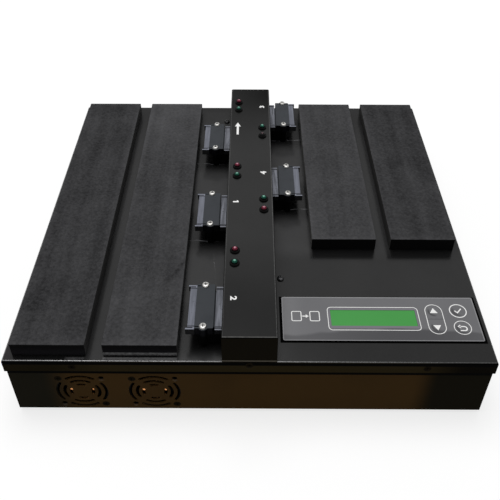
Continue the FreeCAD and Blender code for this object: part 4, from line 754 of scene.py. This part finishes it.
# %% [markdown]
# ## Sockets and plugs
#
# A socket and its plug are long bars seen from above, with a dark groove just before each raised
# end. `slot_place` measures from the middle of the nearest drive position, so one material serves
# all five of them: it finds the grooves by their distance from that middle.

# %% Socket and plug plastics


def painted_connector(name, lit_top, bar_at, contrast, front):
    """Connector plastic with painted light and shade: black sides, pale streaked upper faces and dark grey
    front faces; bright end bars past a dark groove.
    """
    plastic = moulded(name, (0.002, 0.002, 0.003), 0.4, 0.3, 0.03, lit_top)
    place = plastic.slot_place()
    _, back, level = plastic.facing()
    top = level.above(0.7, 0.4)
    bar = abs(place).above(bar_at, 0.001) * top
    groove = near(abs(place), bar_at - 0.4 * MM, 0.0004, 0.0004)
    streak = plastic.grain(0.0018, 2, stretch=(1, 0.07, 1)).above(0.5, 0.3) * top
    skin = Term(plastic, plastic.shader.inputs["Base Color"].links[0].from_socket)
    skin = plastic.blend(streak * contrast, skin, tuple(value * 1.6 for value in lit_top))
    skin = plastic.blend((1 - streak) * top * contrast * 0.6, skin, tuple(value * 0.5 for value in lit_top))
    skin = plastic.blend(bar * 0.8, skin, tuple(value * 1.5 for value in lit_top))
    pit = plastic.grain(0.002, 2).above(0.70, 0.03) * top * contrast
    skin = plastic.blend((groove + pit).math("MINIMUM", 1), skin, (0.004, 0.004, 0.006))
    below_top = plastic.axes()[2].below(span("drive_socket_1")[1][2] - 0.7 * MM, 0.0004)
    # painted light and shade: the front faces below the top get their own dark grey
    plastic.put("Base Color", plastic.blend(back.below(-0.8, 0.1) * below_top, skin, front))
    return plastic


painted_connector("socket_plastic", (0.155, 0.163, 0.194), 18.8 * MM, 0.3, (0.018, 0.018, 0.019)).onto(
    *[f"drive_socket_{slot}" for slot in SLOTS])
painted_connector("plug_plastic", (0.150, 0.156, 0.178), 18.5 * MM, 0.8, (0.010, 0.010, 0.011)).onto(
    *[f"link_plug_{slot}" for slot in SLOTS])
print("sockets and plugs at", len(SLOTS), "drive positions")

# %% [markdown]
# ## Metals
#
# Turned and plated parts are metallic in the shader. A fine noise in the roughness breaks up the
# mirror, as tool marks and handling do on a real screw. A black screw in the front wall is seen at
# a slant, where a metallic shader mirrors the studio whatever its colour, so the black finishes
# are not metallic there.

# %% Screws, contacts and windings


def metal(name, color, roughness, uneven=0.12, size=0.0006, stretch=(1, 1, 1)):
    """Bare or plated metal: metallic, with tool marks in its roughness and a trace of bump."""
    finish = Finish(name, color, roughness, metallic=1.0)
    marks = finish.grain(size, 3, stretch)
    finish.tint(tuple(value * 0.85 for value in color), tuple(min(1, value * 1.1) for value in color), marks)
    finish.put("Roughness", roughness - uneven / 2 + marks * uneven)
    finish.bump(marks, 0.00001, 0.3)
    return finish


nickel = metal("nickel", (0.42, 0.415, 0.40), 0.42, 0.2)
drive_floor = span("slot_screws")[1][2] - 0.45 * MM
# painted shade in the cross recess of each head
recess = nickel.axes()[2].below(drive_floor, 0.1 * MM) * nickel.facing()[2].above(0.9, 0.1)
nickel.put("Base Color", nickel.blend(recess, (0.42, 0.415, 0.40), (0.03, 0.03, 0.03)))
nickel.onto("slot_screws")

black_zinc = metal("black_zinc", (0.035, 0.035, 0.036), 0.35)
in_front_wall = black_zinc.axes()[1].below(FRONT + 15 * MM, 0.002)
heads = black_zinc.blend(black_zinc.grain(0.0009, 2), (0.008, 0.008, 0.008), (0.060, 0.060, 0.062))
# painted warm reflection on the screws in the front wall, as on the other front faces
black_zinc.put("Base Color", black_zinc.blend(in_front_wall, heads, (0.015, 0.0105, 0.0055)))
black_zinc.put("Metallic", 1 - in_front_wall)
black_zinc.put("Specular IOR Level", 0.0)
black_zinc.onto("black_pan_screws")

oxide = Finish("black_oxide", (0.012, 0.009, 0.006), 0.6, specular_ior_level=0.0)
oxide.tint((0.004, 0.003, 0.002), (0.028, 0.022, 0.014), oxide.grain(0.0009, 2))
oxide.onto("flange_screws")
metal("gold_plate", (0.83, 0.62, 0.28), 0.25).onto("socket_contacts", "inlet_pins")
metal("copper_wire", (0.80, 0.36, 0.14), 0.35, size=0.0003).onto("fan_left_coils", "fan_right_coils")
metal("plain_brass", (0.75, 0.58, 0.30), 0.3).onto("board_standoffs")

galvanised = Finish("galvanised_steel", (0.55, 0.56, 0.57), 0.4, metallic=1.0)
patches = {"Vector": galvanised.where(), "Scale": 180}
spangle = galvanised.node("ShaderNodeTexVoronoi", None, patches, output="Color")
flake = galvanised.node("ShaderNodeSeparateColor", None, {0: spangle})
galvanised.tint((0.42, 0.43, 0.45), (0.64, 0.65, 0.66), flake)
galvanised.put("Roughness", 0.32 + flake * 0.2)
galvanised.onto("supply_case")
print("metal finishes: nickel, black zinc, black oxide, gold, copper, brass and galvanised steel")

# %% [markdown]
# ## Lamps
#
# A light-emitting diode is a clear coloured dome in a black bezel. Unlit, it looks nearly black
# with a deep tint. A painted highlight makes one pale point at the crown, and painted shade darkens
# the dome low down. Facing the viewer it is darker than at its rim, so the tint follows a
# Fresnel-like facing value. The last red one on the right is duller than the others. The small black
# plastics are moulded like the sockets.

# %% Diodes and small plastics

DARK_FROM = 60 * MM


def epoxy(name, deep, rim, highlight, one_dark=False):
    """Clear tinted epoxy: painted shade near black low down, deep in the middle, and a painted highlight
    small at the crown.
    """
    lamp = Finish(name, deep, 0.1, specular_ior_level=0.08)
    edge = lamp.node("ShaderNodeLayerWeight", None, {"Blend": 0.35}, output="Facing")
    depth = edge * 0.7 + lamp.grain(0.002, 1) * 0.4
    level = lamp.facing()[2]
    shaded = tuple(value * 0.03 for value in deep)
    body = lamp.blend(level.above(0.50, 0.4), shaded, lamp.blend(depth, deep, rim))
    # painted highlight at the crown
    crown = level.above(0.92, 0.09)
    if one_dark:
        across, along, _ = lamp.axes()
        dark = across.above(0, 0.001) * along.above(DARK_FROM, 0.001)
        body = lamp.blend(dark, body, (0.004, 0.004, 0.004))
        crown = crown * (1 - dark * 0.8)
    lamp.put("Base Color", lamp.blend(crown, body, highlight))
    lamp.put("Roughness", 0.06 + depth * 0.08)
    return lamp


red = epoxy("red_epoxy", (0.115, 0.005, 0.021), (0.16, 0.014, 0.034), (0.44, 0.22, 0.27), one_dark=True)
red.onto("red_leds")
green = epoxy("green_epoxy", (0.002, 0.060, 0.036), (0.006, 0.085, 0.055), (0.19, 0.42, 0.33))
green.onto("green_leds")
moulded("bezel_plastic", (0.002, 0.002, 0.002), 0.4, specular=0.03, lit_top=(0.005, 0.005, 0.005)).onto(
    "led_bezels")
moulded("black_plastic", (0.010, 0.010, 0.010), 0.45, specular=0.3).onto(
    "power_inlet", "power_rocker", "tact_switches", "board_parts")
moulded("fan_plastic", (0.002, 0.0018, 0.0015), 0.5, specular=0.02).onto(
    *[f"{fan}_{piece}" for fan in ("fan_left", "fan_right", "supply_fan") for piece in ("frame", "rotor")])
moulded("foot_rubber", (0.018, 0.018, 0.018), 0.8, specular=0.3).onto("rubber_feet")
moulded("solder_mask", (0.02, 0.13, 0.06), 0.35).onto("main_board", "panel_board", "led_board")
print("materials so far:", len(bpy.data.materials))

# %% [markdown]
# ## Control panel
#
# The panel's face is a smoky grey printed film, glossy enough to show soft reflections and not
# quite flat. A painted reflection makes it palest at its left end and darker in a low band along the
# front, and a painted highlight frames it in a pale line. The four keys have the same film, and each
# has painted shade in its lower left.
# The window shows the plain green of a display that is off.

# %% Panel film

WINDOW = centre_of("lcd_glass")[:2]


def key_shade(across, along, key, reach):
    """Painted shade: a soft dark crescent inside a key, on its lower left."""
    middle = centre_of(key)
    aside = (across - middle[0]) * (1 / reach)
    behind = (along - middle[1]) * (1 / reach)
    away = (aside * aside + behind * behind) ** 0.5
    return near(away, 0.68, 0.16, 0.3) * (aside * -0.8 - behind * 0.6).above(0.3, 0.6)


def film_color(film, smoke):
    """Smoky grey with a painted reflection at its left end and in its low band, a painted highlight on its
    frame, painted shade in the keys, and the tinted border round the window.
    """
    across, along, _ = film.axes()
    level = film.facing()[2].above(0.7, 0.3)
    # painted reflection: paler at the left end, darker in the low band
    left_end = across.below(PLATE_LOW[0] + 11 * MM, 0.02)
    color = film.blend(smoke * 0.7 + left_end * 0.4, (0.100, 0.100, 0.107), (0.165, 0.165, 0.174))
    by_keys = abs(across - (PLATE_MIDDLE[0] + 15 * MM)).below(0.045, 0.07)
    forward = along * -1 + film.grain(0.02, 1) * 0.006 + by_keys * 0.005
    low_band = forward.above(-PLATE_LOW[1] - 3.2 * MM, 0.003)
    color = film.blend(low_band * (0.66 + by_keys * 0.34), color, (0.038, 0.038, 0.043))
    color = film.blend(1 - level, color, (0.002, 0.002, 0.002))
    inside_x = PLATE_HALF[0] - abs(across - PLATE_MIDDLE[0])
    inside_y = PLATE_HALF[1] - abs(along - PLATE_MIDDLE[1])
    # painted highlight: a pale line along the plate's edge
    rim = inside_x.math("MINIMUM", inside_y).below(0.7 * MM, 0.0004) * level
    rim = rim * (0.6 + along.above(PLATE_HIGH[1] - 3.5 * MM, 0.002) * 0.2)
    color = film.blend(rim, color, (0.32, 0.32, 0.33))
    # painted shade in each key's lower left
    reaches = {"key_ok": 6 * MM, "key_back": 6 * MM, "key_up": 5.5 * MM, "key_down": 5.5 * MM}
    key_shades = sum(key_shade(across, along, key, reach) for key, reach in reaches.items())
    color = film.blend((key_shades * level).math("MINIMUM", 0.95), color, (0.030, 0.030, 0.034))
    border = near(across, WINDOW[0], 33.9 * MM, 0.0006) * near(along, WINDOW[1] - 0.4 * MM, 9.6 * MM, 0.0006)
    film.put("Coat Weight", level)
    return film.blend(border * 0.8, color, (0.165, 0.155, 0.185))


film = Finish("panel_film", (0.085, 0.085, 0.088), 0.25, specular_ior_level=0.01, coat_roughness=0.2)
smoke = film.grain(0.05, 3)
film.put("Base Color", film_color(film, smoke))
film.put("Roughness", 0.2 + smoke * 0.1)
ripple = film.bump(film.grain(0.028, 1), 0.0004, 0.35)
film.bump(film.grain(0.0006, 2), 0.00001, 0.3, then=ripple)
film.onto("control_panel", "key_up", "key_down", "key_ok", "key_back")
print(f"window's middle at {WINDOW[0] / MM:.1f}, {WINDOW[1] / MM:.1f} mm")

# %% [markdown]
# ## Display
#
# A glass pane lies over the display, in a black sheet metal frame that the panel hides. The green
# is even, with only a slow sheen.

# %% Display

glass = Finish("display_green", (0.045, 0.29, 0.052), 0.3, specular_ior_level=0.3)
sheen = glass.grain(0.04, 2)
glass.tint((0.040, 0.275, 0.047), (0.052, 0.31, 0.058), sheen)
glass.put("Roughness", 0.28 + sheen * 0.06)
glass.onto("lcd_glass")
moulded("display_frame", (0.02, 0.02, 0.02), 0.4).onto("lcd_bezel")
print("display glass and frame done")

# %% [markdown]
# ## Printed marks
#
# The marks are white ink: thin closed bands and plates that stand a few hundredths of a millimetre
# proud. Plain numbers name four of the drive positions, and an arrow that points into the machine
# marks the fifth, from which the others are copied. The keys carry a tick, a return arrow and two
# triangles. The panel's left end has a pictogram of two drives with an arrow between them.

# %% Ink

ink = Finish("white_ink", (0.85, 0.85, 0.84), 0.5)
grit = ink.grain(0.0012, 3)
ink.tint((0.78, 0.78, 0.77), (0.97, 0.97, 0.96), grit)
ink.put("Roughness", 0.42 + grit * 0.15)
ink.bump(grit, 0.00001, 0.3)
INK = 0.03 * MM


def ribbon_points(path, width, low, high):
    """An open band with square ends; at a turn its corners move out, so that the band stays as wide."""
    path = np.asarray(path, float)
    runs = np.diff(path, axis=0)
    runs /= np.linalg.norm(runs, axis=1)[:, None]
    after = np.vstack([runs, runs[-1:]])
    ahead = np.vstack([runs[:1], runs]) + after
    ahead /= np.linalg.norm(ahead, axis=1)[:, None]
    stretch = 1 / np.maximum(np.einsum("ij,ij->i", ahead, after), 0.3)
    side = np.c_[ahead[:, 1], -ahead[:, 0]] * (width / 2 * stretch)[:, None]
    return strip_points(path, side, low, high)


def arc_points(middle, radius, start, stop, steps=16):
    """Points on a circle from one angle to another, in degrees."""
    angles = np.radians(np.linspace(start, stop, steps))
    return np.c_[middle[0] + radius * np.cos(angles), middle[1] + radius * np.sin(angles)]


def numeral(name, text, size, place, turn):
    """A bold numeral from the built-in font, `size` wide and high, centred at a place and turned about Z."""
    curve = bpy.data.curves.new(name, "FONT")
    curve.body = text
    curve.offset = 0.035
    curve.extrude = 0.5
    curve.resolution_u = 6
    holder = bpy.data.objects.new(name + "_curve", curve)
    bpy.context.scene.collection.objects.link(holder)
    bpy.context.view_layer.update()
    mesh = bpy.data.meshes.new_from_object(holder.evaluated_get(bpy.context.evaluated_depsgraph_get()))
    bpy.data.objects.remove(holder)
    points = np.empty(len(mesh.vertices) * 3)
    mesh.vertices.foreach_get("co", points)
    points = points.reshape(-1, 3)
    low, high = points.min(0), points.max(0)
    scale = size[1] / (high[1] - low[1])
    wide = min(size[0] / (high[0] - low[0]), 1.5 * scale)
    points = (points - (low + high) / 2) * (wide, scale, INK)
    points[:, 2] += place[2] + INK / 2
    angle = math.radians(turn)
    across, along = points[:, 0].copy(), points[:, 1].copy()
    points[:, 0] = place[0] + across * math.cos(angle) - along * math.sin(angle)
    points[:, 1] = place[1] + across * math.sin(angle) + along * math.cos(angle)
    mesh.vertices.foreach_set("co", points.reshape(-1))
    mesh.update()
    piece = bpy.data.objects.new(name, mesh)
    bpy.context.scene.collection.objects.link(piece)
    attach(piece, "case")
    ink.onto(piece)


LABEL_X = 12 * MM
for slot, back, tall in (("2", 0.8, 4.9), ("3", 2.0, 4.9), ("4", 0.8, 5.5)):
    side = -1 if slot == "2" else 1
    spot = (side * LABEL_X, slot_line(slot) + back * MM, RIDGE_TOP)
    numeral(f"numeral_{slot}", slot, (tall * 0.84 * MM, tall * MM), spot, side * 90)

# a numeral 1, upright as (right, up), then turned to lie along the ridge like the others
upright = np.array([(0, -2.5), (1.6, -2.5), (1.6, 2.5), (0.3, 2.5), (-1.1, 1.6), (-1.1, 0.7), (0, 1.1)]) * MM
lying = np.c_[upright[:, 1], -upright[:, 0]] + (-LABEL_X - 0.3 * MM, slot_line("1") + 1.5 * MM)
ink.onto(several("numeral_1", [plate_points(lying, RIDGE_TOP, RIDGE_TOP + INK)]))
print("numerals 1 to 4 on the ridge")

# %% [markdown]
# ## The arrow at the source position
#
# The position that is copied from needs a mark that says so without a word. An arrow along the
# ridge points into the machine. Seven corners make its outline, and a plate of ink fills it.

# %% Arrow at the source position


def arrow_outline(length, head, shaft, head_width):
    """An arrow along +Y, centred: a straight shaft and a triangular head."""
    tip, neck, tail = length / 2, length / 2 - head, -length / 2
    return [(-shaft / 2, tail), (shaft / 2, tail), (shaft / 2, neck), (head_width / 2, neck), (0, tip),
            (-head_width / 2, neck), (-shaft / 2, neck)]


arrow = np.array(arrow_outline(21 * MM, 7 * MM, 2.1 * MM, 5.8 * MM))
arrow = arrow + (-LABEL_X - 0.4 * MM, slot_line("source") + 3 * MM)
ink.onto(several("source_arrow", [plate_points(arrow, RIDGE_TOP, RIDGE_TOP + INK)]))
print("arrow at the source position")

# %% [markdown]
# ## Marks on the panel
#
# Rings round the window and the keys are printed on the plate and stay with it. The marks in the
# middle of the keys go down with them, so they ride on the keys' own bodies.

# %% Rings and lines on the panel

LINE = 0.55 * MM
LOW, HIGH = PANEL_TOP, PANEL_TOP + INK
ok_middle, back_middle = centre_of("key_ok")[:2], centre_of("key_back")[:2]
arrows_middle = np.array([centre_of("key_up")[0], (span("key_up")[1][1] + span("key_down")[0][1]) / 2])

round_window = rounded_outline(34.9 * MM, 11.1 * MM, 3 * MM) + WINDOW - (0, 0.7 * MM)
window_ring = band_points(round_window, LINE, LOW, HIGH)
key_rings = [band_points(circle_outline(6.35 * MM) + middle, width, LOW, HIGH)
             for middle, width in ((ok_middle, 0.75 * MM), (back_middle, LINE))]
oval = band_points(rounded_outline(6.5 * MM, 14.2 * MM, 6.49 * MM) + arrows_middle, LINE, LOW, HIGH)
ink.onto(several("panel_lines", [window_ring, oval, *key_rings], wrap_rows=True))
print("rings on the panel:", 2 + len(key_rings))

# %% Marks on the keys


def key_mark(name, grids, key):
    """Ink that rides on a key's own body."""
    ink.onto(several(name, grids, body=key.replace("key_", "push_")))


tick = ribbon_points(np.array([(-2.6, 0.2), (-0.7, -1.8), (2.8, 2.2)]) * MM + ok_middle, 0.9 * MM, LOW, HIGH)
key_mark("ok_tick", [tick], "key_ok")
bow = arc_points((1.1, -0.85), 1.95, 90, -90, 14)
bend = np.vstack([[(-2.4, 1.1)], bow, [(-2.3, -2.8)]]) * MM + back_middle
hook = ribbon_points(bend, 0.95 * MM, LOW, HIGH)
head = plate_points(np.array([(-1.4, -0.7), (-1.4, 2.9), (-3.8, 1.1)]) * MM + back_middle, LOW, HIGH)
key_mark("return_arrow", [hook, head], "key_back")

triangle = np.array([(-3.0, 5.9), (3.0, 5.9), (0, 10.8)]) * MM
for key, corners in (("key_up", triangle), ("key_down", triangle[::-1] * (1, -1))):
    key_mark(key + "_mark", [plate_points(corners + arrows_middle, LOW, HIGH)], key)
print("tick, return arrow and two triangles on the keys")

# %% [markdown]
# ## A pictogram for the panel's left end
#
# Two drives with an arrow between them say what the machine does. Each drive is a closed band
# round a rounded rectangle, and the arrow is the ridge's arrow again, smaller and turned.

# %% Pictogram

PICTOGRAM_AT = (PLATE_LOW[0] + 18 * MM, PLATE_MIDDLE[1] + 1.9 * MM)
drive = rounded_outline(3.6 * MM, 4.6 * MM, 1 * MM) + PICTOGRAM_AT
drives = [band_points(drive + (shift, 0), 0.7 * MM, LOW, HIGH) for shift in (-7 * MM, 7 * MM)]
ink.onto(several("drive_outlines", drives, wrap_rows=True))
copy_arrow = np.array(arrow_outline(5 * MM, 2.4 * MM, 1.0 * MM, 3.4 * MM))[:, ::-1] * (1, -1)
ink.onto(several("copy_arrow", [plate_points(copy_arrow + PICTOGRAM_AT, LOW, HIGH)]))
print("pictogram of two drives")

# %% [markdown]
# ## The studio
#
# One soft box hangs over the case and a little behind it, and a dim sky fills in from all round.
# Together they light a flat surface so that its colour shows about as it is written. The backdrop is
# white for the camera, and for rays off metal or through glass, but it lights nothing: the world and
# the floor ask which kind of ray it is. The floor is pale grey to the lamp, so it keeps the shadow.

# %% Lamp and world

SKY = 0.35


def softbox(name, place, target, size, watts):
    """A rectangular lamp at a place, turned to face a target."""
    lamp = bpy.data.lights.new(name, "AREA")
    lamp.shape = "RECTANGLE"
    lamp.size, lamp.size_y = size
    lamp.energy = watts
    holder = bpy.data.objects.new(name, lamp)
    direction = Vector(target) - Vector(place)
    holder.matrix_world = Matrix.Translation(place) @ direction.to_track_quat("-Z", "Y").to_matrix().to_4x4()
    bpy.context.scene.collection.objects.link(holder)


softbox("overhead", (-0.1, 0.1, 1.35), (0, 0, 0.05), (0.9, 0.8), 11.5)

world = bpy.data.worlds.new("studio")
world.use_nodes = True
bpy.context.scene.world = world
sky = Net(world.node_tree)
background = sky.nodes["Background"].inputs
background["Color"].default_value = (1, 1, 1, 1)
sky.feed(background["Strength"], SKY + sky.backdrop() * (1 - SKY))
print("one softbox and a sky of strength", SKY)

# %% [markdown]
# ## The floor
#
# One large square lies under the feet. To the lamp it is pale grey and takes the case's shadow. To
# the camera it also glows, nearly as bright as the backdrop near the case and just as bright
# further out, so that no horizon shows.

# %% Floor

REACH = 4.0
floor_mesh = bpy.data.meshes.new("floor")
floor_mesh.from_pydata([(-REACH, -REACH, 0), (REACH, -REACH, 0), (REACH, REACH, 0), (-REACH, REACH, 0)], [],
                       [(0, 1, 2, 3)])
floor = bpy.data.objects.new("floor", floor_mesh)
bpy.context.scene.collection.objects.link(floor)
ground = Finish("pale_floor", (0.32, 0.32, 0.32), 0.9, specular_ior_level=0.0, emission_strength=1.0)
distance = ground.node("ShaderNodeVectorMath", {"operation": "LENGTH"}, {0: ground.where()}, output="Value")
glow = 0.74 + distance.above(0.75, 0.7) * 0.26
ground.put("Emission Color", ground.blend(ground.backdrop() * glow, (0, 0, 0), (1, 1, 1)))
ground.onto(floor)
print("floor", 2 * REACH, "m wide")
